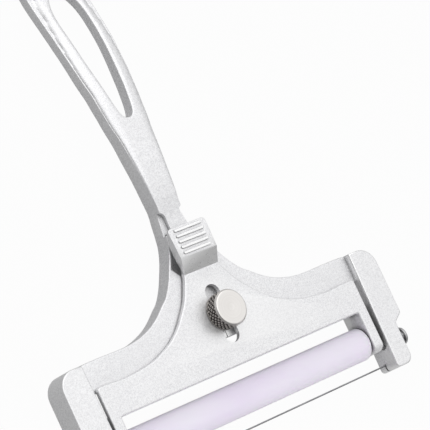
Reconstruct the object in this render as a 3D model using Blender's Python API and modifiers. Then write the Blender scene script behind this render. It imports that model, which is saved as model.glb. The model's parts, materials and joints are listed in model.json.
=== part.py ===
# Wire slicer with an adjustable roller: two castings, a roller on its axle, a clamp screw, a cutting wire.
# The head lies along X, the handle runs to +Y, the worked face looks to +Z. Lengths are in metres.
import math
import bpy
import bmesh
from mathutils import Matrix, Vector

MM = 0.001

# Head of the frame casting
HEAD_HALF = 57.5 * MM
CASTING_DEPTH = 5.5 * MM
CROSS_LOWER_DROP = 3.4 * MM
ARM_RISE = 2.3 * MM
ARM_BACK_STEP = 0.2 * MM
ARM_WIDTH = 8.6 * MM
ARM_TIP_GROWTH = 0.9 * MM
ARM_DROP = 30.3 * MM
ARM_TOP_RISE = 4.45 * MM
ARM_TOP_RADIUS = 5.2 * MM
ARM_TIP_RADIUS = 2.6 * MM
ARM_HEEL_RADIUS = 1.2 * MM
STEP_DROP = 16.4 * MM
STEP_LENGTH = 2.0 * MM
STEP_DEPTH = 3.2 * MM
EDGE_ROUND = 0.45 * MM

# Handle
HANDLE_TOP = 114.0 * MM
HANDLE_HALF = 9.6 * MM
HANDLE_START = 36.0 * MM
HOLE_START_SHARE = 0.331
HOLE_END_SHARE = 0.865
HOLE_HALF = 5.1 * MM
HOLE_EDGE_RAISE = 0.8 * MM
BEND_START_SHARE = 0.9
BEND_STEP = 2.6 * MM

# Ridge, rebates and pockets of the neck
RIDGE_HALF = 2.5 * MM
REBATE_TOP = 34.6 * MM
REBATE_DEPTH = 1.3 * MM
REBATE_CORNER = 2.0 * MM
POCKET_TOP = 28.6 * MM
POCKET_DEPTH = 2.8 * MM
POCKET_LOW = 18.5 * MM
POCKET_WALL = 0.55 * MM

# Roller carriage
CARRIAGE_PLATE = 1.35 * MM
PART_GAP = 0.3 * MM
CARRIAGE_SIDE_GAP = 0.75 * MM
CARRIAGE_ARM_WIDTH = 3.45 * MM
CARRIAGE_ARM_BACK = 6.0 * MM
BRIDGE_DROP = 11.75 * MM
BRIDGE_LIP = 1.2 * MM
BRIDGE_LIP_BACK = 3.0 * MM
CARRIAGE_CORNER = 1.0 * MM
AXLE_DROP = 19.9 * MM
AXLE_BACK = 3.3 * MM
ARM_END_BELOW_AXLE = 4.2 * MM
SLOT_CENTRE = 3.1 * MM
SLOT_HALF_TRAVEL = 6.25 * MM
SLOT_CLEARANCE = 0.52 * MM
TRAVEL_DOWN = 3.1 * MM

# Thumb pad on the carriage
PAD_TOP = 28.5 * MM
PAD_FOOT = 20.4 * MM
PAD_BASE = 16.1 * MM
PAD_TOP_HALF = 6.75 * MM
PAD_FOOT_HALF = 6.5 * MM
PAD_BASE_HALF = 6.0 * MM
PAD_TOP_HEIGHT = 2.05 * MM
PAD_FOOT_HEIGHT = 2.15 * MM
PAD_CORNER = 1.2 * MM
PAD_TOP_THICKNESS = 0.75 * MM
PAD_MIDDLE = 24.6 * MM
PAD_MIDDLE_SINK = 0.2 * MM
PAD_FOOT_SINK = 0.5 * MM
RIB_COUNT = 5
RIB_HALF_LENGTH = 4.9 * MM
RIB_HALF_WIDTH = 0.42 * MM
RIB_HEIGHT = 0.3 * MM
RIB_PITCH = 1.6 * MM
RIB_TOP_SETBACK = 0.6 * MM
GUIDE_WIDTH = 0.85 * MM
GUIDE_DEPTH = 0.6 * MM
GUIDE_LOW = 17.0 * MM
GUIDE_HIGH = 24.2 * MM

# Roller and axle
ROLLER_RADIUS = 4.72 * MM
ROLLER_END_GAP = 0.3 * MM
ROLLER_EDGE = 0.35 * MM
AXLE_RADIUS = 1.5 * MM
AXLE_END_SETBACK = 0.4 * MM
AXLE_EDGE = 0.2 * MM

# Clamp screw
KNOB_RADIUS = 5.0 * MM
KNOB_HEIGHT = 4.6 * MM
KNOB_EDGE = 0.25 * MM
STUD_RADIUS = 1.95 * MM
STUD_BACK = 5.1 * MM
KNOB_CENTRE = 3.2 * MM

# Cutting wire and its two screws
WIRE_RADIUS = 0.22 * MM
WIRE_DROP = 28.3 * MM
WIRE_BACK = 2.8 * MM
WIRE_BEND = 0.7 * MM
SCREW_DROP = 22.6 * MM
SCREW_BACK = 0.4 * MM
SCREW_RADIUS = 1.5 * MM
SCREW_LENGTH = 4.2 * MM
SCREW_HEAD_RADIUS = 2.65 * MM
SCREW_HEAD_HEIGHT = 1.3 * MM
SCREW_HEAD_CROWN = 0.4 * MM
SCREW_SLOT_HALF = 0.32 * MM
SCREW_SLOT_DEPTH = 0.6 * MM

CUT_OVERRUN = 2.0 * MM
WELD = 0.00001
TURN_STEPS = 48
ROLLER_STEPS = 64
ROUND_STEPS = 6

# Right edge of the frame from the neck to the arm: shares of HEAD_HALF in X and of HANDLE_START in Y
SHOULDER_SHARES = [
    (0.0687, 0.9583), (0.0748, 0.8897), (0.08, 0.8338), (0.0852, 0.7922), (0.0922, 0.7363),
    (0.106, 0.6756), (0.1275, 0.604), (0.156, 0.529), (0.1795, 0.468), (0.21, 0.4025), (0.2425, 0.346),
    (0.2815, 0.302), (0.327, 0.248), (0.3765, 0.2015), (0.431, 0.1677), (0.49, 0.1438), (0.555, 0.131),
    (0.63, 0.1294), (0.72, 0.1318), (0.8, 0.131), (0.845, 0.127), (0.875, 0.119),
]
# Right edge of the carriage from under the thumb pad to its outer corner, in the same shares
CARRIAGE_SHARES = [
    (0.083, 0.69), (0.089, 0.559), (0.108, 0.4584), (0.115, 0.4249), (0.13, 0.3801),
    (0.146, 0.3338), (0.163, 0.2923), (0.181, 0.2524), (0.221, 0.1853), (0.262, 0.1198),
    (0.308, 0.0639), (0.358, 0.0192), (0.412, -0.016), (0.47, -0.0447), (0.53, -0.0607),
    (0.593, -0.0719), (0.661, -0.0767), (0.735, -0.0687),
]
# Handle edge: share of the length from HANDLE_START to HANDLE_TOP, then share of HANDLE_HALF
HANDLE_SHARES = [
    (0.0, 0.407), (0.026, 0.43), (0.058, 0.458), (0.128, 0.506), (0.192, 0.563), (0.263, 0.617),
    (0.321, 0.695), (0.363, 0.729), (0.403, 0.767), (0.444, 0.794), (0.473, 0.826), (0.515, 0.868),
    (0.556, 0.893), (0.599, 0.922), (0.641, 0.948), (0.686, 0.962), (0.727, 0.975), (0.769, 0.985),
    (0.815, 0.997), (0.858, 0.995), (0.900, 0.952), (0.940, 0.845), (0.970, 0.68), (0.988, 0.48),
    (0.997, 0.24),
]
# Edge of the handle's hole: share of its length, then share of HOLE_HALF
HOLE_SHARES = [
    (0.003, 0.12), (0.012, 0.24), (0.036, 0.40), (0.086, 0.50), (0.149, 0.58), (0.233, 0.67), (0.314, 0.75),
    (0.400, 0.83), (0.472, 0.885), (0.550, 0.93), (0.630, 0.97), (0.710, 0.995), (0.780, 0.995),
    (0.840, 0.95), (0.890, 0.85), (0.935, 0.70), (0.970, 0.49), (0.992, 0.25),
]
# Side view of the frame: share of the way from the bend's start to HANDLE_TOP, then heights of the front and of
# the back over the head's front plane, as shares of CASTING_DEPTH
BEND_SHARES = [
    (0.001, 0, -1), (0.029, 0.05, -0.96), (0.071, 0.12, -0.88), (0.127, 0.148, -0.8),
    (0.19, 0.146, -0.75), (0.246, 0.126, -0.73), (0.301, 0.09, -0.7), (0.357, 0.04, -0.685),
    (0.413, 0, -0.69), (0.469, -0.042, -0.725), (0.525, -0.14, -0.8), (0.581, -0.255, -0.88),
    (0.637, -0.37, -0.97), (0.693, -0.53, -1.13), (0.749, -0.72, -1.31), (0.804, -0.91, -1.5),
    (0.86, -1.08, -1.68), (0.93, -1.3, -1.9), (1, -1.51, -2.11),
]


def make_material(name, colour, roughness, metallic):
    mat = bpy.data.materials.new(name)
    mat.use_nodes = True
    shader = mat.node_tree.nodes["Principled BSDF"]
    shader.inputs["Base Color"].default_value = (colour[0], colour[1], colour[2], 1.0)
    shader.inputs["Roughness"].default_value = roughness
    shader.inputs["Metallic"].default_value = metallic
    return mat


def smooth_path(points, steps):
    # Catmull-Rom curve through the points, with the given number of steps in each span
    result = []
    last = len(points) - 1
    for index in range(last):
        before = points[max(index - 1, 0)]
        start = points[index]
        end = points[index + 1]
        after = points[min(index + 2, last)]
        for step in range(steps):
            t = step / steps
            value = []
            for axis in range(2):
                a = 2.0 * start[axis]
                b = end[axis] - before[axis]
                c = 2.0 * before[axis] - 5.0 * start[axis] + 4.0 * end[axis] - after[axis]
                d = 3.0 * start[axis] - before[axis] - 3.0 * end[axis] + after[axis]
                value.append(0.5 * (a + b * t + c * t * t + d * t * t * t))
            result.append((value[0], value[1]))
    result.append(points[last])
    return result


def corner_arc(corner, before, after, radius, steps):
    # Points of a round corner of the given radius between two straight edges
    corner = Vector(corner)
    to_before = (Vector(before) - corner).normalized()
    to_after = (Vector(after) - corner).normalized()
    half = to_before.angle(to_after) / 2.0
    reach = radius / math.tan(half)
    centre = corner + (to_before + to_after).normalized() * (radius / math.sin(half))
    start = corner + to_before * reach - centre
    end = corner + to_after * reach - centre
    sweep = start.angle_signed(end)
    points = []
    for step in range(steps + 1):
        turned = Matrix.Rotation(-sweep * step / steps, 2) @ start
        points.append((centre.x + turned.x, centre.y + turned.y))
    return points


def rounded_outline(corners, steps):
    # Closed outline from corners given as (x, y, radius)
    points = []
    count = len(corners)
    for index in range(count):
        x, y, radius = corners[index]
        if radius <= 0.0:
            points.append((x, y))
            continue
        before = corners[index - 1][:2]
        after = corners[(index + 1) % count][:2]
        points.extend(corner_arc((x, y), before, after, radius, steps))
    return points


def mirrored(points):
    return [(-x, y) for x, y in reversed(points)]


def prism_mesh(outline, low, high):
    # Closed straight body between two heights over a flat outline
    bm = bmesh.new()
    lower = [bm.verts.new((x, y, low)) for x, y in outline]
    upper = [bm.verts.new((x, y, high)) for x, y in outline]
    bm.faces.new(list(reversed(lower)))
    bm.faces.new(upper)
    count = len(outline)
    for index in range(count):
        after = (index + 1) % count
        bm.faces.new((lower[index], lower[after], upper[after], upper[index]))
    bmesh.ops.recalc_face_normals(bm, faces=bm.faces)
    return bm


def add_mesh(bm, name, collection, mat):
    mesh = bpy.data.meshes.new(name)
    bm.to_mesh(mesh)
    bm.free()
    obj = bpy.data.objects.new(name, mesh)
    collection.objects.link(obj)
    if mat is not None:
        mesh.materials.append(mat)
    return obj


def add_tool(bm, name):
    obj = add_mesh(bm, name, TOOLS, None)
    obj.hide_render = True
    obj.display_type = 'WIRE'
    return obj


def combine(obj, tool, operation):
    mod = obj.modifiers.new(tool.name, 'BOOLEAN')
    mod.operation = operation
    mod.solver = 'EXACT'
    mod.object = tool


def round_edges(obj, width, segments):
    mod = obj.modifiers.new("edges", 'BEVEL')
    mod.width = width
    mod.segments = segments
    mod.limit_method = 'ANGLE'
    mod.angle_limit = math.radians(50.0)
    mod.use_clamp_overlap = True


def smooth_shading(obj, angle):
    obj.data.shade_smooth()
    obj.data.set_sharp_from_angle(angle=math.radians(angle))


def turned_mesh(profile, steps):
    # Body of revolution about Z from a closed list of (radius, height); the ends may lie on the axis
    bm = bmesh.new()
    rings = []
    for radius, height in profile:
        if radius <= 0.0:
            rings.append([bm.verts.new((0.0, 0.0, height))])
            continue
        ring = []
        for step in range(steps):
            angle = 2.0 * math.pi * step / steps
            ring.append(bm.verts.new((radius * math.cos(angle), radius * math.sin(angle), height)))
        rings.append(ring)
    closed = profile[0][0] > 0.0
    spans = len(rings) if closed else len(rings) - 1
    for index in range(spans):
        upper = rings[index]
        lower = rings[(index + 1) % len(rings)]
        for step in range(steps):
            after = (step + 1) % steps
            if len(upper) == 1:
                bm.faces.new((upper[0], lower[step], lower[after]))
            elif len(lower) == 1:
                bm.faces.new((upper[step], lower[0], upper[after]))
            else:
                bm.faces.new((upper[step], lower[step], lower[after], upper[after]))
    bmesh.ops.recalc_face_normals(bm, faces=bm.faces)
    return bm


def turn_to_x(bm, direction):
    # Lay a body of revolution along X, its +Z end towards the given side
    for vert in bm.verts:
        x, y, z = vert.co
        vert.co = (direction * z, y, -direction * x)
    bmesh.ops.recalc_face_normals(bm, faces=bm.faces)
    return bm


def cylinder_mesh(radius, low, high, steps):
    return turned_mesh([(0.0, high), (radius, high), (radius, low), (0.0, low)], steps)


def shift_mesh(bm, offset):
    bmesh.ops.translate(bm, verts=bm.verts, vec=Vector(offset))
    return bm


def obround(half_width, half_straight, centre, upright, steps):
    points = []
    for step in range(steps + 1):
        angle = math.pi * step / steps
        points.append((half_width * math.cos(angle), half_straight + half_width * math.sin(angle)))
    for step in range(steps + 1):
        angle = math.pi + math.pi * step / steps
        points.append((half_width * math.cos(angle), -half_straight + half_width * math.sin(angle)))
    if not upright:
        points = [(y, -x) for x, y in points]
    return [(x + centre[0], y + centre[1]) for x, y in points]


def arm_inner(drop):
    # Inner face of the frame's arm, which leans inwards towards the tip
    share = max(drop, 0.0) / ARM_DROP
    return HEAD_HALF - ARM_WIDTH - ARM_TIP_GROWTH * share


def bend_heights(y):
    start = HANDLE_START * BEND_START_SHARE
    share = (y - start) / (HANDLE_TOP - start)
    if share <= BEND_SHARES[0][0]:
        return BEND_SHARES[0][1] * CASTING_DEPTH, BEND_SHARES[0][2] * CASTING_DEPTH
    for first, second in zip(BEND_SHARES[:-1], BEND_SHARES[1:]):
        if share <= second[0]:
            t = (share - first[0]) / (second[0] - first[0])
            front = first[1] + (second[1] - first[1]) * t
            back = first[2] + (second[2] - first[2]) * t
            return front * CASTING_DEPTH, back * CASTING_DEPTH
    return BEND_SHARES[-1][1] * CASTING_DEPTH, BEND_SHARES[-1][2] * CASTING_DEPTH


def frame_body():
    # Handle, neck and cross member as one flat outline, cut into strips and then bent in side view
    length = HANDLE_TOP - HANDLE_START
    handle = [(share * HANDLE_HALF, HANDLE_START + along * length) for along, share in HANDLE_SHARES]
    neck = [(x * HEAD_HALF, y * HANDLE_START) for x, y in reversed(SHOULDER_SHARES)]
    inside = HEAD_HALF - ARM_WIDTH / 2.0
    right = [(inside, -CROSS_LOWER_DROP), (inside, neck[0][1] - ARM_TOP_RISE / 3.0)]
    right += smooth_path(neck + handle, 2)
    outline = right + [(0.0, HANDLE_TOP)] + mirrored(right)
    hole_start = HANDLE_START + HOLE_START_SHARE * length
    hole_end = HANDLE_START + HOLE_END_SHARE * length
    hole_length = hole_end - hole_start
    hole_right = [(share * HOLE_HALF, hole_start + along * hole_length) for along, share in HOLE_SHARES]
    hole_right = smooth_path(hole_right, 2)
    hole = [(0.0, hole_start)] + hole_right + [(0.0, hole_end)] + mirrored(hole_right)

    bm = bmesh.new()
    raised = bm.verts.layers.float.new("raised")
    outer_verts = [bm.verts.new((x, y, 0.0)) for x, y in outline]
    hole_verts = [bm.verts.new((x, y, 0.0)) for x, y in hole]
    for vert in hole_verts:
        vert[raised] = min(abs(vert.co.x) / HOLE_EDGE_RAISE, 1.0)
    edges = []
    for ring in (outer_verts, hole_verts):
        for index in range(len(ring)):
            edges.append(bm.edges.new((ring[index], ring[(index + 1) % len(ring)])))
    bmesh.ops.triangle_fill(bm, edges=edges, use_beauty=True, use_dissolve=False)
    bmesh.ops.dissolve_limit(bm, angle_limit=0.01, verts=bm.verts, edges=bm.edges)
    heights = []
    y = HANDLE_START
    while y < HANDLE_TOP:
        heights.append(y)
        y += BEND_STEP
    bend_start = HANDLE_START * BEND_START_SHARE
    for share, front, back in BEND_SHARES:
        level = bend_start + share * (HANDLE_TOP - bend_start)
        if level < HANDLE_START:
            heights.append(level)
    for y in sorted(heights):
        geom = bm.verts[:] + bm.edges[:] + bm.faces[:]
        bmesh.ops.bisect_plane(bm, geom=geom, dist=WELD * 20.0, plane_co=(0.0, y, 0.0), plane_no=(0.0, 1.0, 0.0))
    for face in bm.faces:
        if face.normal.z < 0.0:
            face.normal_flip()
    front_faces = bm.faces[:]
    result = bmesh.ops.extrude_face_region(bm, geom=front_faces, use_keep_orig=True)
    moved = [item for item in result["geom"] if isinstance(item, bmesh.types.BMVert)]
    moved_set = set(moved)
    for vert in bm.verts:
        front, back = bend_heights(vert.co.y)
        vert.co.z = (back if vert in moved_set else front) + vert[raised] * HOLE_EDGE_RAISE
    bmesh.ops.recalc_face_normals(bm, faces=bm.faces)
    return bm


def arm_outline(side):
    inner_top = arm_inner(0.0)
    inner_tip = arm_inner(ARM_DROP)
    outer_low = HEAD_HALF - STEP_DEPTH
    corners = [
        (inner_top, ARM_TOP_RISE, 0.0),
        (HEAD_HALF, ARM_TOP_RISE, ARM_TOP_RADIUS),
        (HEAD_HALF, -STEP_DROP, STEP_LENGTH / 4.0),
        (outer_low, -STEP_DROP - STEP_LENGTH, STEP_LENGTH / 4.0),
        (outer_low, -ARM_DROP, ARM_TIP_RADIUS),
        (inner_tip, -ARM_DROP, ARM_HEEL_RADIUS),
    ]
    points = rounded_outline(corners, ROUND_STEPS)
    if side < 0:
        points = mirrored(points)
    return points


def rebate_outline(side):
    low = POCKET_TOP - POCKET_WALL
    corners = [
        (RIDGE_HALF, low, 0.0), (HANDLE_HALF, low, 0.0), (HANDLE_HALF, REBATE_TOP, 0.0),
        (RIDGE_HALF, REBATE_TOP, REBATE_CORNER),
    ]
    points = rounded_outline(corners, ROUND_STEPS)
    return points if side > 0 else mirrored(points)


def pocket_outline(side):
    # Hollow beside the ridge: it follows the neck's edge at the distance of its thin wall
    wall = []
    for x, y in SHOULDER_SHARES:
        point_y = y * HANDLE_START
        if POCKET_LOW <= point_y <= POCKET_TOP:
            wall.append((x * HEAD_HALF - POCKET_WALL * 1.25, point_y))
    low = GUIDE_LOW - TRAVEL_DOWN - 2.0 * PART_GAP
    far = RIDGE_HALF + GUIDE_WIDTH + 2.0 * PART_GAP
    points = [(RIDGE_HALF, POCKET_TOP)] + wall + [(far, low), (RIDGE_HALF, low)]
    return points if side > 0 else mirrored(points)


def build_frame(mat):
    frame = add_mesh(frame_body(), "frame", PART, mat)
    round_edges(frame, EDGE_ROUND, 2)
    back = -CASTING_DEPTH - ARM_BACK_STEP
    screw_face = HEAD_HALF - STEP_DEPTH
    bore = SCREW_RADIUS + PART_GAP
    for side, label in ((1, "right"), (-1, "left")):
        arm = add_tool(prism_mesh(arm_outline(side), back, ARM_RISE), "arm_" + label)
        round_edges(arm, EDGE_ROUND, 2)
        combine(frame, arm, 'UNION')
        rebate = prism_mesh(rebate_outline(side), -REBATE_DEPTH, CUT_OVERRUN)
        combine(frame, add_tool(rebate, "rebate_" + label), 'DIFFERENCE')
        pocket = prism_mesh(pocket_outline(side), -POCKET_DEPTH, CUT_OVERRUN)
        combine(frame, add_tool(pocket, "pocket_" + label), 'DIFFERENCE')
        slit_half = WIRE_RADIUS + PART_GAP
        slit = slit_mesh(side, slit_half)
        combine(frame, add_tool(slit, "slit_" + label), 'DIFFERENCE')
        hole = cylinder_mesh(bore, -SCREW_LENGTH - PART_GAP, CUT_OVERRUN, TURN_STEPS // 2)
        hole = shift_mesh(turn_to_x(hole, side), (side * screw_face, -SCREW_DROP, -SCREW_BACK))
        combine(frame, add_tool(hole, "screw_hole_" + label), 'DIFFERENCE')
    tapped = cylinder_mesh(STUD_RADIUS + PART_GAP, back - CUT_OVERRUN, CUT_OVERRUN, TURN_STEPS // 2)
    tapped = shift_mesh(tapped, (0.0, KNOB_CENTRE, 0.0))
    combine(frame, add_tool(tapped, "tapped_hole"), 'DIFFERENCE')
    smooth_shading(frame, 35.0)
    return frame


def slit_mesh(side, half):
    inner = side * (arm_inner(ARM_DROP) - CUT_OVERRUN)
    outer = side * (HEAD_HALF + CUT_OVERRUN)
    low = min(inner, outer)
    high = max(inner, outer)
    top = -WIRE_DROP + half
    bottom = -ARM_DROP - CUT_OVERRUN
    outline = [(low, bottom), (high, bottom), (high, top), (low, top)]
    return prism_mesh(outline, -WIRE_BACK - half, -WIRE_BACK + half)


def carriage_outer():
    return arm_inner(ARM_DROP) - CARRIAGE_SIDE_GAP


def plate_outline():
    outer = carriage_outer()
    inner = outer - CARRIAGE_ARM_WIDTH
    edge = [(x * HEAD_HALF, y * HANDLE_START) for x, y in CARRIAGE_SHARES]
    edge = smooth_path(edge, 2)
    corner_y = edge[-1][1]
    right = edge + corner_arc((outer, corner_y), edge[-1], (outer, -BRIDGE_DROP), CARRIAGE_CORNER, ROUND_STEPS)
    right += [(outer, -BRIDGE_DROP + CARRIAGE_CORNER)]
    right += [(inner - CARRIAGE_CORNER, -BRIDGE_DROP)]
    points = list(reversed(right))
    return points + mirrored(points)


def carriage_arm_outline(side):
    outer = carriage_outer()
    inner = outer - CARRIAGE_ARM_WIDTH
    tip = -AXLE_DROP - ARM_END_BELOW_AXLE
    top = -BRIDGE_DROP + BRIDGE_LIP
    radius = CARRIAGE_ARM_WIDTH * 0.46
    corners = [(inner, top, 0.0), (inner, tip, radius), (outer, tip, radius), (outer, top, 0.0)]
    points = rounded_outline(corners, ROUND_STEPS)
    return points if side > 0 else mirrored(points)


def pad_rows(face):
    # Right edge of the thumb pad from its base upwards: x, y, height of the front, height of the underside
    top_z = face + PAD_TOP_HEIGHT
    foot_z = face + PAD_FOOT_HEIGHT
    fall = (top_z - foot_z) / (PAD_TOP - PAD_FOOT)
    middle_low = face - PAD_MIDDLE_SINK
    foot_low = face - PAD_FOOT_SINK
    rows = [(PAD_BASE_HALF, PAD_BASE, face, foot_low), (PAD_FOOT_HALF, PAD_FOOT, foot_z, foot_low)]
    along = (PAD_MIDDLE - PAD_FOOT) / (PAD_TOP - PAD_FOOT)
    middle_half = PAD_FOOT_HALF + (PAD_TOP_HALF - PAD_FOOT_HALF) * along
    rows.append((middle_half, PAD_MIDDLE, foot_z + fall * (PAD_MIDDLE - PAD_FOOT), middle_low))
    rise = (top_z - PAD_TOP_THICKNESS - middle_low) / (PAD_TOP - PAD_MIDDLE)
    foot = (PAD_FOOT_HALF, PAD_FOOT)
    for x, y in corner_arc((PAD_TOP_HALF, PAD_TOP), foot, (0.0, PAD_TOP), PAD_CORNER, ROUND_STEPS // 2):
        rows.append((x, y, foot_z + fall * (y - PAD_FOOT), middle_low + rise * (y - PAD_MIDDLE)))
    return rows


def pad_mesh(face):
    # Wedge under the thumb: a flat face that slopes to the plate below its foot, thinner towards the top
    bm = bmesh.new()
    rings = []
    for x, y, front, back in pad_rows(face):
        rings.append([bm.verts.new(point) for point in ((x, y, front), (-x, y, front), (-x, y, back), (x, y, back))])
    for lower, upper in zip(rings[:-1], rings[1:]):
        for index in range(4):
            after = (index + 1) % 4
            bm.faces.new((lower[index], lower[after], upper[after], upper[index]))
    bm.faces.new(rings[0])
    bm.faces.new(rings[-1])
    bmesh.ops.recalc_face_normals(bm, faces=bm.faces)
    bmesh.ops.dissolve_limit(bm, angle_limit=WELD, verts=bm.verts, edges=bm.edges)
    return bm


def build_carriage(mat):
    low = PART_GAP
    face = low + CARRIAGE_PLATE
    carriage = add_mesh(prism_mesh(plate_outline(), low, face), "carriage", PART, mat)
    round_edges(carriage, EDGE_ROUND, 2)
    outer = carriage_outer()
    inner = outer - CARRIAGE_ARM_WIDTH
    for side, label in ((1, "right"), (-1, "left")):
        arm = add_tool(prism_mesh(carriage_arm_outline(side), -CARRIAGE_ARM_BACK, face), "roller_arm_" + label)
        round_edges(arm, EDGE_ROUND, 2)
        combine(carriage, arm, 'UNION')
    lip_top = -BRIDGE_DROP + BRIDGE_LIP
    reach = inner + CARRIAGE_ARM_WIDTH / 3.0
    lip_outline = [(-reach, -BRIDGE_DROP), (reach, -BRIDGE_DROP), (reach, lip_top), (-reach, lip_top)]
    lip = add_tool(prism_mesh(lip_outline, -BRIDGE_LIP_BACK, face - EDGE_ROUND), "bridge_lip")
    combine(carriage, lip, 'UNION')
    pad = add_tool(pad_mesh(face), "thumb_pad")
    round_edges(pad, EDGE_ROUND / 2.0, 2)
    weld = pad.modifiers.new("weld", 'WELD')
    weld.merge_threshold = WELD * 5.0
    combine(carriage, pad, 'UNION')
    fall = (PAD_TOP_HEIGHT - PAD_FOOT_HEIGHT) / (PAD_TOP - PAD_FOOT)
    for index in range(RIB_COUNT):
        y = PAD_TOP - RIB_TOP_SETBACK - index * RIB_PITCH
        ground = face + PAD_TOP_HEIGHT - fall * (PAD_TOP - y)
        outline = obround(RIB_HALF_WIDTH, RIB_HALF_LENGTH - RIB_HALF_WIDTH, (0.0, y), False, ROUND_STEPS)
        rib = add_tool(prism_mesh(outline, ground - RIB_HEIGHT, ground + RIB_HEIGHT), "grip_rib_%d" % (index + 1))
        combine(carriage, rib, 'UNION')
    for side, label in ((1, "right"), (-1, "left")):
        near = side * (RIDGE_HALF + PART_GAP)
        far = side * (RIDGE_HALF + PART_GAP + GUIDE_WIDTH)
        outline = [(near, GUIDE_LOW), (far, GUIDE_LOW), (far, GUIDE_HIGH), (near, GUIDE_HIGH)]
        if side < 0:
            outline.reverse()
        guide = add_tool(prism_mesh(outline, -GUIDE_DEPTH, face - EDGE_ROUND), "guide_" + label)
        combine(carriage, guide, 'UNION')
    slot_outline = obround(STUD_RADIUS + SLOT_CLEARANCE, SLOT_HALF_TRAVEL, (0.0, SLOT_CENTRE), True, 12)
    slot = add_tool(prism_mesh(slot_outline, low - CUT_OVERRUN, face + CUT_OVERRUN), "slot")
    combine(carriage, slot, 'DIFFERENCE')
    bore = cylinder_mesh(AXLE_RADIUS + PART_GAP, -HEAD_HALF, HEAD_HALF, TURN_STEPS // 2)
    bore = shift_mesh(turn_to_x(bore, 1), (0.0, -AXLE_DROP, -AXLE_BACK))
    combine(carriage, add_tool(bore, "axle_bore"), 'DIFFERENCE')
    smooth_shading(carriage, 35.0)
    return carriage


def build_roller(mat):
    half = carriage_outer() - CARRIAGE_ARM_WIDTH - ROLLER_END_GAP
    bore = AXLE_RADIUS + PART_GAP
    edge = ROLLER_EDGE
    profile = [
        (bore, half), (ROLLER_RADIUS - edge, half), (ROLLER_RADIUS - edge * 0.3, half - edge * 0.3),
        (ROLLER_RADIUS, half - edge), (ROLLER_RADIUS, -half + edge),
        (ROLLER_RADIUS - edge * 0.3, -half + edge * 0.3), (ROLLER_RADIUS - edge, -half), (bore, -half),
    ]
    roller = add_mesh(turn_to_x(turned_mesh(profile, ROLLER_STEPS), 1), "roller", PART, mat)
    roller.location = (0.0, -AXLE_DROP, -AXLE_BACK)
    smooth_shading(roller, 35.0)
    return roller


def build_axle(mat):
    half = carriage_outer() - AXLE_END_SETBACK
    edge = AXLE_EDGE
    profile = [
        (0.0, half), (AXLE_RADIUS - edge, half), (AXLE_RADIUS, half - edge),
        (AXLE_RADIUS, -half + edge), (AXLE_RADIUS - edge, -half), (0.0, -half),
    ]
    axle = add_mesh(turn_to_x(turned_mesh(profile, TURN_STEPS), 1), "roller_axle", PART, mat)
    axle.location = (0.0, -AXLE_DROP, -AXLE_BACK)
    smooth_shading(axle, 35.0)
    return axle


def build_thumbscrew(mat):
    base = PART_GAP + CARRIAGE_PLATE + PART_GAP
    top = base + KNOB_HEIGHT
    edge = KNOB_EDGE
    profile = [
        (0.0, top), (KNOB_RADIUS - edge, top), (KNOB_RADIUS, top - edge), (KNOB_RADIUS, base + edge),
        (KNOB_RADIUS - edge, base), (STUD_RADIUS, base), (STUD_RADIUS, -STUD_BACK + edge),
        (STUD_RADIUS - edge, -STUD_BACK), (0.0, -STUD_BACK),
    ]
    screw = add_mesh(turned_mesh(profile, TURN_STEPS), "thumbscrew", PART, mat)
    screw.location = (0.0, KNOB_CENTRE, 0.0)
    smooth_shading(screw, 35.0)
    return screw


def build_wire_screw(side, label, mat):
    seat = PART_GAP + 2.0 * WIRE_RADIUS + PART_GAP
    top = seat + SCREW_HEAD_HEIGHT
    crown = SCREW_HEAD_CROWN
    profile = [
        (0.0, top), (SCREW_HEAD_RADIUS * 0.6, top), (SCREW_HEAD_RADIUS * 0.88, top - crown * 0.45),
        (SCREW_HEAD_RADIUS, top - crown * 1.4), (SCREW_HEAD_RADIUS, seat), (SCREW_RADIUS, seat),
        (SCREW_RADIUS, -SCREW_LENGTH + crown), (SCREW_RADIUS - crown, -SCREW_LENGTH), (0.0, -SCREW_LENGTH),
    ]
    bm = turn_to_x(turned_mesh(profile, TURN_STEPS // 2), side)
    screw = add_mesh(bm, "wire_screw_" + label, PART, mat)
    reach = SCREW_HEAD_RADIUS * 1.3
    low = top - SCREW_SLOT_DEPTH
    half = SCREW_SLOT_HALF
    outline = [(low, -half), (top + CUT_OVERRUN, -half), (top + CUT_OVERRUN, half), (low, half)]
    if side < 0:
        outline = mirrored(outline)
    slot = add_tool(prism_mesh(outline, -reach, reach), "screw_slot_" + label)
    face = HEAD_HALF - STEP_DEPTH
    place = (side * face, -SCREW_DROP, -SCREW_BACK)
    screw.location = place
    slot.location = place
    combine(screw, slot, 'DIFFERENCE')
    smooth_shading(screw, 35.0)
    return screw


def wire_points():
    # From the loop round one screw, down the arm's outer face, through both slits and up to the other screw
    face = HEAD_HALF - STEP_DEPTH + PART_GAP + WIRE_RADIUS
    ring = SCREW_RADIUS + PART_GAP + WIRE_RADIUS
    half = []
    start = math.radians(-60.0)
    sweep = math.radians(240.0)
    for step in range(13):
        angle = start + sweep * step / 12
        half.append((face, -SCREW_DROP + ring * math.sin(angle), -SCREW_BACK + ring * math.cos(angle)))
    half[-1] = (face, -SCREW_DROP, -SCREW_BACK - ring)
    bend_y = -WIRE_DROP + WIRE_BEND
    for step in range(1, 5):
        t = step / 4
        z = -SCREW_BACK - ring + (SCREW_BACK + ring - WIRE_BACK) * t
        half.append((face, -SCREW_DROP + (bend_y + SCREW_DROP) * t, z))
    for step in range(1, 5):
        angle = math.pi / 2.0 * step / 4
        x = face - WIRE_BEND * (1.0 - math.cos(angle))
        y = bend_y - WIRE_BEND * math.sin(angle)
        half.append((x, y, -WIRE_BACK))
    left = [(-x, y, z) for x, y, z in reversed(half)]
    return half + left


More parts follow.
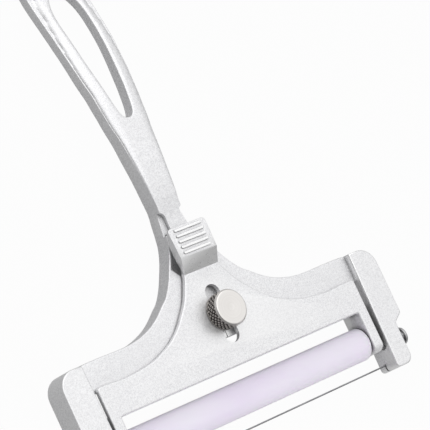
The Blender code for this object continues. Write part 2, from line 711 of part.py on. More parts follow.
def build_wire(mat):
    points = wire_points()
    data = bpy.data.curves.new("cutting_wire_path", 'CURVE')
    data.dimensions = '3D'
    data.bevel_depth = WIRE_RADIUS
    data.bevel_resolution = 2
    data.use_fill_caps = True
    spline = data.splines.new('POLY')
    spline.points.add(len(points) - 1)
    for item, point in zip(spline.points, points):
        item.co = (point[0], point[1], point[2], 1.0)
    path = bpy.data.objects.new("cutting_wire_path", data)
    TOOLS.objects.link(path)
    bpy.context.view_layer.update()
    shape = path.evaluated_get(bpy.context.evaluated_depsgraph_get())
    mesh = bpy.data.meshes.new_from_object(shape)
    bpy.data.objects.remove(path)
    bm = bmesh.new()
    bm.from_mesh(mesh)
    bpy.data.meshes.remove(mesh)
    bmesh.ops.remove_doubles(bm, verts=bm.verts, dist=WELD)
    bmesh.ops.recalc_face_normals(bm, faces=bm.faces)
    wire = add_mesh(bm, "cutting_wire", PART, mat)
    smooth_shading(wire, 35.0)
    return wire


def settle_on_origin(root):
    # Move the whole so that its box stands on Z = 0 with its middle over the origin
    bpy.context.view_layer.update()
    graph = bpy.context.evaluated_depsgraph_get()
    low = Vector((math.inf, math.inf, math.inf))
    high = -low
    for obj in PART.objects:
        if obj.type != 'MESH':
            continue
        shape = obj.evaluated_get(graph)
        for vert in shape.data.vertices:
            point = shape.matrix_world @ vert.co
            for axis in range(3):
                low[axis] = min(low[axis], point[axis])
                high[axis] = max(high[axis], point[axis])
    root.location = (-(low.x + high.x) / 2.0, -(low.y + high.y) / 2.0, -low.z)
    bpy.context.view_layer.update()


for old in list(bpy.data.objects):
    bpy.data.objects.remove(old)

PART = bpy.data.collections.new("wire_slicer")
TOOLS = bpy.data.collections.new("cutters")
bpy.context.scene.collection.children.link(PART)
bpy.context.scene.collection.children.link(TOOLS)

casting = make_material("casting", (0.79, 0.79, 0.80), 0.42, 0.75)
plastic = make_material("roller_plastic", (0.85, 0.82, 0.90), 0.35, 0.0)
steel = make_material("steel", (0.60, 0.60, 0.61), 0.28, 1.0)
nickel = make_material("nickel", (0.74, 0.72, 0.68), 0.30, 1.0)
wire_steel = make_material("wire_steel", (0.52, 0.52, 0.53), 0.30, 1.0)

pieces = [
    build_frame(casting),
    build_carriage(casting),
    build_roller(plastic),
    build_axle(steel),
    build_thumbscrew(nickel),
    build_wire(wire_steel),
    build_wire_screw(1, "right", steel),
    build_wire_screw(-1, "left", steel),
]
root = bpy.data.objects.new("slicer_root", None)
PART.objects.link(root)
for piece in pieces:
    piece.parent = root
for tool in TOOLS.objects:
    tool.parent = root
settle_on_origin(root)
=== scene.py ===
import bpy
import bmesh
import json
import math
from mathutils import Matrix, Vector


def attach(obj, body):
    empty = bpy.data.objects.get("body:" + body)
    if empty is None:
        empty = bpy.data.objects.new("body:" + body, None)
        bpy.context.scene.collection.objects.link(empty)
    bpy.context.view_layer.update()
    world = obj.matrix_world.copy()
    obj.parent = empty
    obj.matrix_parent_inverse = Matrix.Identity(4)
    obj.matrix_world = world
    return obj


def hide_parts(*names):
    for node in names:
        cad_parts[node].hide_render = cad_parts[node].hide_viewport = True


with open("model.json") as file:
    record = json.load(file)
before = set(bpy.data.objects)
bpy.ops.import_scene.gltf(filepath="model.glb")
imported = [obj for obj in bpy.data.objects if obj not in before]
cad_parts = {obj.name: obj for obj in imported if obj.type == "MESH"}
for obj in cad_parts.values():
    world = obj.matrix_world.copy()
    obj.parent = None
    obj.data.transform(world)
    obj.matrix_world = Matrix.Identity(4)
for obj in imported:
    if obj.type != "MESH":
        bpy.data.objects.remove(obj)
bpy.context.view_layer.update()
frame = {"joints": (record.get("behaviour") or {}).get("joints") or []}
mm = 0.001

# the head's own axes, in millimetres, start this far below the clamp screw on the middle line
knobAlong = 3.2
thumbJoint = [j for j in frame["joints"] if j["name"] == "thumbscrew_turn"][0]
headOrigin = Vector(thumbJoint["pos_m"]) - Vector((0.0, knobAlong * mm, 0.0))

camera = {"yaw": 0.672, "pitch": -0.090, "roll": 0.438, "focalPixels": 2423.27, "pixelsPerMm": 3.712,
          "originX": 223.575, "originY": 324.633, "pictureWidth": 430.0, "sensor": 36.0,
          "clipStart": 0.01, "clipEnd": 10.0}


def makeCamera(c):
    # the picture's camera in the head's own axes, then moved with the head
    yaw, pitch, roll = c["yaw"], c["pitch"], c["roll"]
    turnYaw = Matrix(((math.cos(yaw), 0, math.sin(yaw)), (0, 1, 0), (-math.sin(yaw), 0, math.cos(yaw))))
    turnPitch = Matrix(((1, 0, 0), (0, math.cos(pitch), -math.sin(pitch)),
                        (0, math.sin(pitch), math.cos(pitch))))
    turnRoll = Matrix(((math.cos(roll), -math.sin(roll), 0), (math.sin(roll), math.cos(roll), 0), (0, 0, 1)))
    toCamera = turnRoll @ turnPitch @ turnYaw
    half = c["pictureWidth"] / 2
    shiftX = (c["originX"] - half) / c["pixelsPerMm"] * mm
    shiftY = -(c["originY"] - half) / c["pixelsPerMm"] * mm
    distance = c["focalPixels"] / c["pixelsPerMm"] * mm
    place = toCamera.transposed() @ Vector((-shiftX, -shiftY, distance))
    data = bpy.data.cameras.new("camera")
    data.sensor_width = c["sensor"]
    data.lens = c["focalPixels"] * c["sensor"] / c["pictureWidth"]
    data.clip_start = c["clipStart"]
    data.clip_end = c["clipEnd"]
    obj = bpy.data.objects.new("camera", data)
    bpy.context.scene.collection.objects.link(obj)
    obj.matrix_world = Matrix.Translation(place + headOrigin) @ toCamera.transposed().to_4x4()
    bpy.context.scene.camera = obj


makeCamera(camera)

studio = {"skyStrength": 1.0, "topTone": 1.0, "sideTone": 0.2, "skyFrom": 0.3, "skyTo": 0.8,
          "tentCentre": (0.15, 0.35, 0.9),
          "lampPower": 4.8, "lampSize": 1.5, "lampPlace": (0.02, 0.65, 1.1),
          "fillPower": 0.6, "fillSize": 0.3, "fillPlace": (-0.03, -0.32, 0.07),
          "floorColour": (0.3, 0.3, 0.3), "floorRoughness": 0.9, "floorSize": 1.6, "floorWhite": 0.97,
          "mirroredWhite": 0.3}


def addNode(tree, kind, **values):
    node = tree.nodes.new(kind)
    for key, value in values.items():
        setattr(node, key, value)
    return node


def makeWorld(s):
    world = bpy.data.worlds.new("studioSky")
    bpy.context.scene.world = world
    world.use_nodes = True
    tree = world.node_tree
    background = tree.nodes["Background"]
    coords = addNode(tree, "ShaderNodeTexCoord")
    # soft white tent, brightest round one direction over the handle, and plain white to the camera
    towards = addNode(tree, "ShaderNodeVectorMath", operation="DOT_PRODUCT")
    towards.inputs[1].default_value = Vector(s["tentCentre"]).normalized()
    tree.links.new(coords.outputs["Generated"], towards.inputs[0])
    ramp = addNode(tree, "ShaderNodeValToRGB")
    ramp.color_ramp.elements[0].position = s["skyFrom"]
    ramp.color_ramp.elements[0].color = [s["sideTone"]] * 3 + [1]
    ramp.color_ramp.elements[1].position = s["skyTo"]
    ramp.color_ramp.elements[1].color = [s["topTone"]] * 3 + [1]
    tree.links.new(towards.outputs["Value"], ramp.inputs[0])
    tree.links.new(ramp.outputs[0], background.inputs[0])
    background.inputs[1].default_value = s["skyStrength"]
    white = addNode(tree, "ShaderNodeBackground")
    white.inputs[1].default_value = 1.0
    path = addNode(tree, "ShaderNodeLightPath")
    mix = addNode(tree, "ShaderNodeMixShader")
    tree.links.new(path.outputs["Is Camera Ray"], mix.inputs[0])
    tree.links.new(background.outputs[0], mix.inputs[1])
    tree.links.new(white.outputs[0], mix.inputs[2])
    tree.links.new(mix.outputs[0], tree.nodes["World Output"].inputs[0])


def makeLamp(name, power, size, place):
    data = bpy.data.lights.new(name, "AREA")
    data.energy = power
    data.shape = "DISK"
    data.size = size
    lamp = bpy.data.objects.new(name, data)
    lamp.location = place
    lamp.rotation_euler = Vector(place).to_track_quat("Z", "Y").to_euler()
    lamp.visible_camera = False
    bpy.context.scene.collection.objects.link(lamp)
    return lamp


def makeFloor(s):
    bm = bmesh.new()
    bmesh.ops.create_grid(bm, x_segments=1, y_segments=1, size=s["floorSize"])
    mesh = bpy.data.meshes.new("floor")
    bm.to_mesh(mesh)
    bm.free()
    floor = bpy.data.objects.new("floor", mesh)
    bpy.context.scene.collection.objects.link(floor)
    mat = bpy.data.materials.new("floorPaper")
    mat.use_nodes = True
    tree = mat.node_tree
    shader = tree.nodes["Principled BSDF"]
    shader.inputs["Base Color"].default_value = (*s["floorColour"], 1)
    shader.inputs["Roughness"].default_value = s["floorRoughness"]
    shader.inputs["Specular IOR Level"].default_value = 0.0
    # nearly white to the camera and paler in reflections, but it keeps the object's shadow
    glow = addNode(tree, "ShaderNodeEmission")
    glow.inputs[1].default_value = 1.0
    path = addNode(tree, "ShaderNodeLightPath")
    mirrored = addNode(tree, "ShaderNodeMath", operation="MAXIMUM")
    tree.links.new(path.outputs["Is Glossy Ray"], mirrored.inputs[0])
    tree.links.new(path.outputs["Is Transmission Ray"], mirrored.inputs[1])
    dimmed = addNode(tree, "ShaderNodeMath", operation="MULTIPLY")
    dimmed.inputs[1].default_value = s["mirroredWhite"]
    tree.links.new(mirrored.outputs[0], dimmed.inputs[0])
    share = addNode(tree, "ShaderNodeMath", operation="MULTIPLY_ADD")
    share.inputs[1].default_value = s["floorWhite"]
    tree.links.new(path.outputs["Is Camera Ray"], share.inputs[0])
    tree.links.new(dimmed.outputs[0], share.inputs[2])
    mix = addNode(tree, "ShaderNodeMixShader")
    tree.links.new(share.outputs[0], mix.inputs[0])
    tree.links.new(shader.outputs[0], mix.inputs[1])
    tree.links.new(glow.outputs[0], mix.inputs[2])
    tree.links.new(mix.outputs[0], tree.nodes["Material Output"].inputs[0])
    mesh.materials.append(mat)


makeWorld(studio)
makeLamp("softLamp", studio["lampPower"], studio["lampSize"], studio["lampPlace"])
fillLamp = makeLamp("fillLamp", studio["fillPower"], studio["fillSize"], studio["fillPlace"])
fillLamp.visible_glossy = False  # its reflection would be too bright on the clamp screw's edge
makeFloor(studio)
bpy.context.scene.view_settings.view_transform = "Standard"
print("camera, light and floor ready")

# noise mostly keeps between these, so they are its darkest and lightest
noiseLow = 0.3
noiseHigh = 0.7


def startMaterial(name, roughness, metallic):
    mat = bpy.data.materials.new(name)
    mat.use_nodes = True
    tree = mat.node_tree
    shader = tree.nodes["Principled BSDF"]
    shader.inputs["Roughness"].default_value = roughness
    shader.inputs["Metallic"].default_value = metallic
    coords = addNode(tree, "ShaderNodeTexCoord").outputs["Object"]
    return mat, tree, shader, coords


def placed(tree, coords, centre=(0.0, 0.0, 0.0), stretch=(1.0, 1.0, 1.0)):
    # pattern coordinates measured from a centre in metres, stretched along the axes
    node = addNode(tree, "ShaderNodeMapping", vector_type="POINT")
    node.inputs["Location"].default_value = [-c * s for c, s in zip(centre, stretch)]
    node.inputs["Scale"].default_value = stretch
    tree.links.new(coords, node.inputs["Vector"])
    return node.outputs[0]


def grain(tree, coords, size, detail=2.0, contrast=0.5):
    # mottle with spots of about the given size in metres
    node = addNode(tree, "ShaderNodeTexNoise")
    node.inputs["Scale"].default_value = 1.0 / size
    node.inputs["Detail"].default_value = detail
    node.inputs["Roughness"].default_value = contrast
    tree.links.new(coords, node.inputs["Vector"])
    return node.outputs["Fac"]


def spread(tree, value, fromLow, fromHigh, toLow=0.0, toHigh=1.0):
    node = addNode(tree, "ShaderNodeMapRange")
    limits = {"From Min": fromLow, "From Max": fromHigh, "To Min": toLow, "To Max": toHigh}
    for name, number in limits.items():
        node.inputs[name].default_value = number
    tree.links.new(value, node.inputs["Value"])
    return node.outputs[0]


def fromNoise(tree, noise, toLow=0.0, toHigh=1.0):
    return spread(tree, noise, noiseLow, noiseHigh, toLow, toHigh)


def roughen(tree, shader, noise, f):
    # roughness that wanders round its middle value
    low, high = f["roughness"] - f["smoother"], f["roughness"] + f["rougher"]
    tree.links.new(fromNoise(tree, noise, low, high), shader.inputs["Roughness"])


def combine(tree, operation, first, second):
    # first and second are each a number or the output of a node
    node = addNode(tree, "ShaderNodeMath", operation=operation)
    for i, value in enumerate((first, second)):
        if isinstance(value, float):
            node.inputs[i].default_value = value
        else:
            tree.links.new(value, node.inputs[i])
    return node.outputs[0]


def blend(tree, share, first, second):
    # colour between two, each a colour or the output of a node
    node = addNode(tree, "ShaderNodeMix", data_type="RGBA")
    sockets = [s for s in node.inputs if s.type == "RGBA"]
    tree.links.new(share, node.inputs["Factor"])
    for socket, value in zip(sockets, (first, second)):
        if isinstance(value, tuple):
            socket.default_value = (*value, 1.0)
        else:
            tree.links.new(value, socket)
    return [s for s in node.outputs if s.type == "RGBA"][0]


def relief(tree, shader, height, depth, strength):
    node = addNode(tree, "ShaderNodeBump")
    node.inputs["Strength"].default_value = strength
    node.inputs["Distance"].default_value = depth
    tree.links.new(height, node.inputs["Height"])
    tree.links.new(node.outputs[0], shader.inputs["Normal"])


# the darkest colour here is painted shade for steep walls in narrow gaps, and the palest is partly a painted
# highlight on sharp edges
castFinish = {"light": (0.94, 0.94, 0.95), "dark": (0.70, 0.70, 0.715), "wearAndHighlight": (0.98, 0.98, 0.98),
              "paintedShade": (0.15, 0.15, 0.15), "roughness": 0.46, "roughnessSwing": 0.08, "metallic": 0.55,
              "blast": 0.00032, "blastShare": 0.65, "lump": 0.0007, "lumpShare": 0.35, "contrast": 0.6,
              "mottleFrom": 0.36, "mottleTo": 0.6, "cloud": 0.012, "cloudFrom": 0.35, "cloudTo": 0.65,
              "cloudShare": 0.12, "wearAndHighlightFrom": 0.52, "wearAndHighlightTo": 0.6, "wearAndHighlightShare": 0.9, "rubbing": 0.14,
              "steepFrom": 0.75, "steepTo": 0.4, "paintedShadeReach": 0.0016, "paintedShadeRays": 12, "paintedShadeFrom": 0.35,
              "paintedShadeTo": 0.95, "paintedShadeShare": 0.9, "blastDepth": 0.00005, "blastStrength": 0.5}


def sandblastedCasting(f):
    mat, tree, shader, coords = startMaterial("sandblastedCasting", f["roughness"], f["metallic"])
    blast = grain(tree, coords, f["blast"], contrast=f["contrast"])
    lump = grain(tree, coords, f["lump"], 3.0, f["contrast"])
    cloud = grain(tree, coords, f["cloud"])
    mottle = combine(tree, "ADD", combine(tree, "MULTIPLY", blast, f["blastShare"]),
                     combine(tree, "MULTIPLY", lump, f["lumpShare"]))
    colour = blend(tree, spread(tree, mottle, f["mottleFrom"], f["mottleTo"]), f["dark"], f["light"])
    clouded = spread(tree, cloud, f["cloudFrom"], f["cloudTo"], 0.0, f["cloudShare"])
    tired = blend(tree, clouded, colour, f["dark"])
    geometry = addNode(tree, "ShaderNodeNewGeometry")
    # sharp edges: worn to smoother, barer metal, and also painted lighter as a painted highlight
    wearAndHighlight = spread(tree, geometry.outputs["Pointiness"], f["wearAndHighlightFrom"], f["wearAndHighlightTo"], 0.0, f["wearAndHighlightShare"])
    # painted shade: steep walls in narrow gaps are darkened towards a near-black colour where light would be
    # shut out
    corner = addNode(tree, "ShaderNodeAmbientOcclusion", samples=f["paintedShadeRays"])
    corner.inputs["Distance"].default_value = f["paintedShadeReach"]
    facing = addNode(tree, "ShaderNodeSeparateXYZ")
    tree.links.new(geometry.outputs["True Normal"], facing.inputs[0])
    steep = spread(tree, facing.outputs[2], f["steepFrom"], f["steepTo"])
    narrow = spread(tree, corner.outputs["AO"], f["paintedShadeFrom"], f["paintedShadeTo"], f["paintedShadeShare"], 0.0)
    paintedShade = combine(tree, "MULTIPLY", steep, narrow)
    bareAndHighlit = blend(tree, wearAndHighlight, tired, f["wearAndHighlight"])
    tree.links.new(blend(tree, paintedShade, bareAndHighlit, f["paintedShade"]), shader.inputs["Base Color"])
    # rubbed edges are bare, smoother metal
    rough = fromNoise(tree, lump, f["roughness"] - f["roughnessSwing"], f["roughness"] + f["roughnessSwing"])
    smoother = combine(tree, "MULTIPLY", wearAndHighlight, f["rubbing"])
    tree.links.new(combine(tree, "SUBTRACT", rough, smoother), shader.inputs["Roughness"])
    tree.links.new(spread(tree, wearAndHighlight, 0.0, 1.0, f["metallic"], 1.0), shader.inputs["Metallic"])
    relief(tree, shader, mottle, f["blastDepth"], f["blastStrength"])
    return mat


rollerFinish = {"milk": (0.79, 0.75, 0.85), "shade": (0.76, 0.70, 0.83),
                "roughness": 0.32, "smoother": 0.04, "rougher": 0.05,
                "cloud": 0.009, "cloudStretch": (0.35, 1.0, 1.0), "turning": 0.0006,
                "turningStretch": (1.0, 0.05, 0.05), "turningDepth": 0.000012, "turningStrength": 0.3,
                "milkiness": 0.7, "glowRadius": (1.0, 0.85, 1.0), "glowDepth": 0.004}


def milkyPlastic(f):
    mat, tree, shader, coords = startMaterial("milkyPlastic", f["roughness"], 0.0)
    cloud = grain(tree, placed(tree, coords, stretch=f["cloudStretch"]), f["cloud"])
    tree.links.new(blend(tree, fromNoise(tree, cloud), f["milk"], f["shade"]), shader.inputs["Base Color"])
    shader.inputs["Subsurface Weight"].default_value = f["milkiness"]
    shader.inputs["Subsurface Radius"].default_value = f["glowRadius"]
    shader.inputs["Subsurface Scale"].default_value = f["glowDepth"]
    marks = grain(tree, placed(tree, coords, stretch=f["turningStretch"]), f["turning"])
    roughen(tree, shader, marks, f)
    relief(tree, shader, marks, f["turningDepth"], f["turningStrength"])
    return mat


# the knurled side's two dark colours are painted shade
nickelFinish = {"top": (0.86, 0.84, 0.815), "ring": (0.78, 0.755, 0.73), "grooveShade": (0.022, 0.019, 0.017),
                "ridge": (0.62, 0.58, 0.55), "stud": (0.55, 0.53, 0.50),
                "roughness": 0.34, "smoother": 0.06, "rougher": 0.1,
                "ringStep": 0.0005, "ringDetail": 4.0, "ringContrast": 0.6, "ringDepth": 0.00003,
                "ringStrength": 0.25, "dust": 0.0006, "dustShare": 0.6, "grooveRadius": 0.00492,
                "ridgeRadius": 0.00515, "topHeight": 0.00655, "sideDrop": 0.0005, "sideBlur": 0.00005,
                "studRadius": 0.0026, "studHeight": 0.0025, "studBlur": 0.0001}


def turnedNickel(f):
    mat, tree, shader, coords = startMaterial("turnedNickel", f["roughness"], 1.0)
    around = placed(tree, coords, (headOrigin.x, headOrigin.y + knobAlong * mm, headOrigin.z))
    split = addNode(tree, "ShaderNodeSeparateXYZ")
    tree.links.new(around, split.inputs[0])
    height = split.outputs[2]
    flat = addNode(tree, "ShaderNodeCombineXYZ")
    tree.links.new(split.outputs[0], flat.inputs[0])
    tree.links.new(split.outputs[1], flat.inputs[1])
    length = addNode(tree, "ShaderNodeVectorMath", operation="LENGTH")
    tree.links.new(flat.outputs[0], length.inputs[0])
    radius = length.outputs["Value"]
    # fine rings left by the turning tool, uneven in depth
    line = addNode(tree, "ShaderNodeCombineXYZ")
    tree.links.new(radius, line.inputs[0])
    rings = grain(tree, line.outputs[0], f["ringStep"], f["ringDetail"], f["ringContrast"])
    face = blend(tree, fromNoise(tree, rings), f["ring"], f["top"])
    # painted shade: the knurled side is painted dark, near black down in the grooves and mid grey on the
    # ridges, in place of its shade
    dust = grain(tree, coords, f["dust"])
    ground = spread(tree, radius, f["grooveRadius"], f["ridgeRadius"])
    rubbed = combine(tree, "MULTIPLY", ground, fromNoise(tree, dust, f["dustShare"], 1.0))
    knurlShade = blend(tree, rubbed, f["grooveShade"], f["ridge"])
    low = f["topHeight"] - f["sideDrop"]
    side = spread(tree, height, low + f["sideBlur"], low - f["sideBlur"])
    slim = spread(tree, radius, f["studRadius"], f["studRadius"] - f["studBlur"])
    under = spread(tree, height, f["studHeight"], f["studHeight"] - f["studBlur"])
    shank = combine(tree, "MULTIPLY", slim, under)
    colour = blend(tree, shank, blend(tree, side, face, knurlShade), f["stud"])
    tree.links.new(colour, shader.inputs["Base Color"])
    roughen(tree, shader, rings, f)
    relief(tree, shader, rings, f["ringDepth"], f["ringStrength"])
    return mat


steelFinish = {"light": (0.80, 0.80, 0.80), "dark": (0.50, 0.50, 0.51),
               "roughness": 0.3, "smoother": 0.06, "rougher": 0.12, "rubbed": 0.0008,
               "brushed": 0.0002, "brushStretch": (0.1, 1.0, 1.0), "brushDepth": 0.00002,
               "brushStrength": 0.2}


def screwSteel(f):
    mat, tree, shader, coords = startMaterial("screwSteel", f["roughness"], 1.0)
    rubbed = grain(tree, coords, f["rubbed"], 3.0)
    brushed = grain(tree, placed(tree, coords, stretch=f["brushStretch"]), f["brushed"])
    tree.links.new(blend(tree, fromNoise(tree, rubbed), f["dark"], f["light"]), shader.inputs["Base Color"])
    roughen(tree, shader, brushed, f)
    relief(tree, shader, brushed, f["brushDepth"], f["brushStrength"])
    return mat


wireFinish = {"light": (0.46, 0.46, 0.47), "dark": (0.22, 0.22, 0.23),
              "roughness": 0.36, "smoother": 0.08, "rougher": 0.1, "drawn": 0.0001,
              "drawStretch": (0.03, 1.0, 1.0), "drawDepth": 0.00001, "drawStrength": 0.2}


def drawnWire(f):
    mat, tree, shader, coords = startMaterial("drawnWire", f["roughness"], 1.0)
    drawn = grain(tree, placed(tree, coords, stretch=f["drawStretch"]), f["drawn"])
    tree.links.new(blend(tree, fromNoise(tree, drawn), f["dark"], f["light"]), shader.inputs["Base Color"])
    roughen(tree, shader, drawn, f)
    relief(tree, shader, drawn, f["drawDepth"], f["drawStrength"])
    return mat


look = {"casting": sandblastedCasting(castFinish), "roller": milkyPlastic(rollerFinish),
        "nickel": turnedNickel(nickelFinish), "steel": screwSteel(steelFinish),
        "wire": drawnWire(wireFinish)}
print("finishes ready")

# lengths in millimetres under which two points or two heights count as the same
mergeGap = 1e-4
tiny = 1e-5


def curveThrough(points, steps):
    # smooth curve through the points, with a few steps between each two
    result = []
    last = len(points) - 1
    for i in range(last):
        before, start, end = points[max(i - 1, 0)], points[i], points[i + 1]
        after = points[min(i + 2, last)]
        for step in range(steps):
            t = step / steps
            value = []
            for axis in range(2):
                b = end[axis] - before[axis]
                c = 2.0 * before[axis] - 5.0 * start[axis] + 4.0 * end[axis] - after[axis]
                d = 3.0 * start[axis] - before[axis] - 3.0 * end[axis] + after[axis]
                value.append(0.5 * (2.0 * start[axis] + b * t + c * t * t + d * t * t * t))
            result.append(tuple(value))
    result.append(points[last])
    return result


def lookUp(table, at):
    # value in a table of (place, values...) at a place, straight between its lines
    if at <= table[0][0]:
        return table[0][1:]
    for a, b in zip(table[:-1], table[1:]):
        if at <= b[0]:
            t = (at - a[0]) / (b[0] - a[0])
            return tuple(p + (q - p) * t for p, q in zip(a[1:], b[1:]))
    return table[-1][1:]


def cornerArc(corner, before, after, radius, steps=6):
    # arc that rounds a corner between the points before and after it
    corner = Vector(corner)
    toBefore = (Vector(before) - corner).normalized()
    toAfter = (Vector(after) - corner).normalized()
    half = toBefore.angle(toAfter) / 2.0
    centre = corner + (toBefore + toAfter).normalized() * (radius / math.sin(half))
    reach = radius / math.tan(half)
    start = corner + toBefore * reach - centre
    sweep = start.angle_signed(corner + toAfter * reach - centre)
    points = []
    for step in range(steps + 1):
        arm = Matrix.Rotation(-sweep * step / steps, 2) @ start
        points.append((centre.x + arm.x, centre.y + arm.y))
    return points


def roundedOutline(corners, steps=6):
    # outline from corners given as (x, y, rounding)
    points = []
    for i, (x, y, radius) in enumerate(corners):
        if radius <= 0.0:
            points.append((x, y))
        else:
            following = corners[(i + 1) % len(corners)]
            points += cornerArc((x, y), corners[i - 1][:2], following[:2], radius, steps)
    return points


def mirrored(points):
    return [(-x, y) for x, y in reversed(points)]


def onSide(points, side):
    return points if side > 0 else mirrored(points)


def obround(half, straight, centre, upright, steps):
    # slot with round ends, upright or lying
    points = []
    for turn in (0, 1):
        for step in range(steps + 1):
            angle = math.pi * (turn + step / steps)
            lift = straight if turn == 0 else -straight
            points.append((half * math.cos(angle), lift + half * math.sin(angle)))
    if not upright:
        points = [(y, -x) for x, y in points]
    return [(x + centre[0], y + centre[1]) for x, y in points]


def slab(outline, low, high, topRound=0.0, lowRound=0.0, steps=3):
    # flat outline pulled up into a body, its rims rounded
    bm = bmesh.new()
    face = bm.faces.new([bm.verts.new((x, y, low)) for x, y in outline])
    if face.normal.z > 0.0:
        face.normal_flip()
    face.normal_update()
    made = bmesh.ops.extrude_face_region(bm, geom=[face], use_keep_orig=True)
    upper = [v for v in made["geom"] if isinstance(v, bmesh.types.BMVert)]
    bmesh.ops.translate(bm, verts=upper, vec=(0, 0, high - low))
    bmesh.ops.recalc_face_normals(bm, faces=bm.faces)
    for level, width in ((high, topRound), (low, lowRound)):
        if width > 0.0:
            rim = [e for e in bm.edges if all(abs(v.co.z - level) < tiny for v in e.verts)]
            bmesh.ops.bevel(bm, geom=rim, offset=width, segments=steps, profile=0.5, affect="EDGES",
                            material=-1, clamp_overlap=True)
    return bm


def addObject(bm, name):
    mesh = bpy.data.meshes.new(name)
    bm.to_mesh(mesh)
    bm.free()
    obj = bpy.data.objects.new(name, mesh)
    bpy.context.scene.collection.objects.link(obj)
    return obj


def cutOrJoin(obj, tools):
    # joins or cuts with each helper body, keeps the result and drops the helpers
    helpers = []
    for i, (bm, operation) in enumerate(tools):
        helper = addObject(bm, "helper%d" % i)
        helper.hide_render = True
        helpers.append(helper)
        mod = obj.modifiers.new("step%d" % i, "BOOLEAN")
        mod.operation = operation
        mod.solver = "EXACT"
        mod.object = helper
    graph = bpy.context.evaluated_depsgraph_get()
    mesh = bpy.data.meshes.new_from_object(obj.evaluated_get(graph))
    obj.modifiers.clear()
    old = obj.data
    obj.data = mesh
    bpy.data.meshes.remove(old)
    for helper in helpers:
        data = helper.data
        bpy.data.objects.remove(helper)
        bpy.data.meshes.remove(data)


faceWeight = 60  # large faces lead in the shading of rounded edges
# degrees past which an edge stays sharp
sharpAngles = {"casting": 32.0, "turned": 40.0, "knurled": 25.0, "slotted": 35.0}


def finishPiece(obj, body, nodes, material, sharpAngle, weighted=True):
    # from the head's millimetres to its place in the model, shaded and handed to its body
    bm = bmesh.new()
    bm.from_mesh(obj.data)
    bmesh.ops.remove_doubles(bm, verts=bm.verts, dist=mergeGap)
    bmesh.ops.recalc_face_normals(bm, faces=bm.faces)
    bmesh.ops.transform(bm, matrix=Matrix.Translation(headOrigin) @ Matrix.Scale(mm, 4), verts=bm.verts)
    bm.to_mesh(obj.data)
    bm.free()
    obj.data.materials.clear()
    obj.data.materials.append(material)
    obj.data.shade_smooth()
    obj.data.set_sharp_from_angle(angle=math.radians(sharpAngle))
    if weighted:
        mod = obj.modifiers.new("evenShading", "WEIGHTED_NORMAL")
        mod.keep_sharp = True
        mod.weight = faceWeight
    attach(obj, body)
    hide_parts(*nodes)
    print("made", obj.name, len(obj.data.polygons), "faces")


# the frame casting, in the head's millimetres
casting = {"headHalf": 57.5, "depth": 5.5, "edge": 0.42, "lowerEdge": -3.4, "shoulderEnd": 53.2,
           "shoulderDrop": 0.1, "armRise": 2.3, "armBack": -5.7, "armWidth": 8.6, "armGrowth": 0.9,
           "armTip": -30.3, "armTop": 4.45, "armTopRadius": 5.2, "tipRadius": 2.6, "heelRadius": 1.2,
           "stepY": -16.4, "stepLength": 2.0, "stepDepth": 3.2, "stepRadius": 0.9, "stepEndRadius": 0.6,
           "handleTop": 113.99, "handleHalf": 9.6, "handleStart": 36.0, "sideStart": 32.4,
           "holeStart": 61.82, "holeEnd": 103.47, "holeHalf": 5.1, "holeRim": 0.12, "holeRimRun": 0.18,
           "holeFlare": 0.8, "holeFlareRun": 2.5, "holeBackRim": 0.4,
           "ridgeHalf": 2.5, "rebateTop": 34.6, "rebateHalf": 9.6, "rebateFloor": -1.3, "rebateTurn": 2.0,
           "pocketTop": 28.6, "pocketFloor": -2.8, "pocketLow": 18.5, "pocketWall": 0.55, "pocketSlant": 1.25,
           "pocketEnd": (3.95, 13.3), "slotSink": 0.55, "slotSinkHalf": 2.62, "slotSinkTravel": 6.2,
           "slotSinkY": 2.9, "cutHeight": 4.0, "screwBore": 2.25, "screwBoreDepth": 16.0, "screwBoreZ": -3.0,
           "wireBore": 1.6, "wireBoreDepth": 8.4, "wireBorePlace": (52.0, -22.6, -0.4),
           "slitTop": -27.95, "slitFrom": -3.1, "slitTo": -2.5, "slitSpare": 2.5}

# how the lines of points across the frame turn from the middle line to the lower edge
rowTurn = {"from": 11.0, "to": 18.7, "height": 15.4, "gap": 0.12, "endGap": 0.006, "fullWidth": 4.3}
# distances of the columns of points from the outer and from the inner edge
nearOuter = [0.0, 0.04, 0.1, 0.2, 0.32, 0.45, 0.7, 1.0, 1.4, 1.9, 2.5, 3.1]
nearInner = [0.9, 0.6, 0.45, 0.3, 0.18, 0.1, 0.04, 0.0]
# rounding of the front rim: height, radius
rimTable = [(10.0, 0.42), (18.0, 0.26), (36.0, 0.2)]

# right side of the handle: share of its length, share of its half width
handleEdge = [
    (0.0, 0.407), (0.026, 0.43), (0.058, 0.458), (0.128, 0.506), (0.192, 0.563), (0.263, 0.617),
    (0.321, 0.695), (0.363, 0.729), (0.403, 0.767), (0.444, 0.794), (0.473, 0.826), (0.515, 0.868),
    (0.556, 0.893), (0.599, 0.922), (0.641, 0.948), (0.686, 0.962), (0.727, 0.975), (0.769, 0.985),
    (0.815, 0.997), (0.858, 0.995), (0.900, 0.952), (0.940, 0.845), (0.970, 0.68), (0.988, 0.48),
    (0.997, 0.24), (1.0, 0.0),
]
# right side of the hole in the handle, the same way
holeEdge = [
    (0.0, 0.0), (0.003, 0.12), (0.012, 0.24), (0.036, 0.40), (0.086, 0.50), (0.149, 0.58), (0.233, 0.67),
    (0.314, 0.75), (0.400, 0.83), (0.472, 0.885), (0.550, 0.93), (0.630, 0.97), (0.710, 0.995),
    (0.780, 0.995), (0.840, 0.95), (0.890, 0.85), (0.935, 0.70), (0.970, 0.49), (0.992, 0.25), (1.0, 0.0),
]
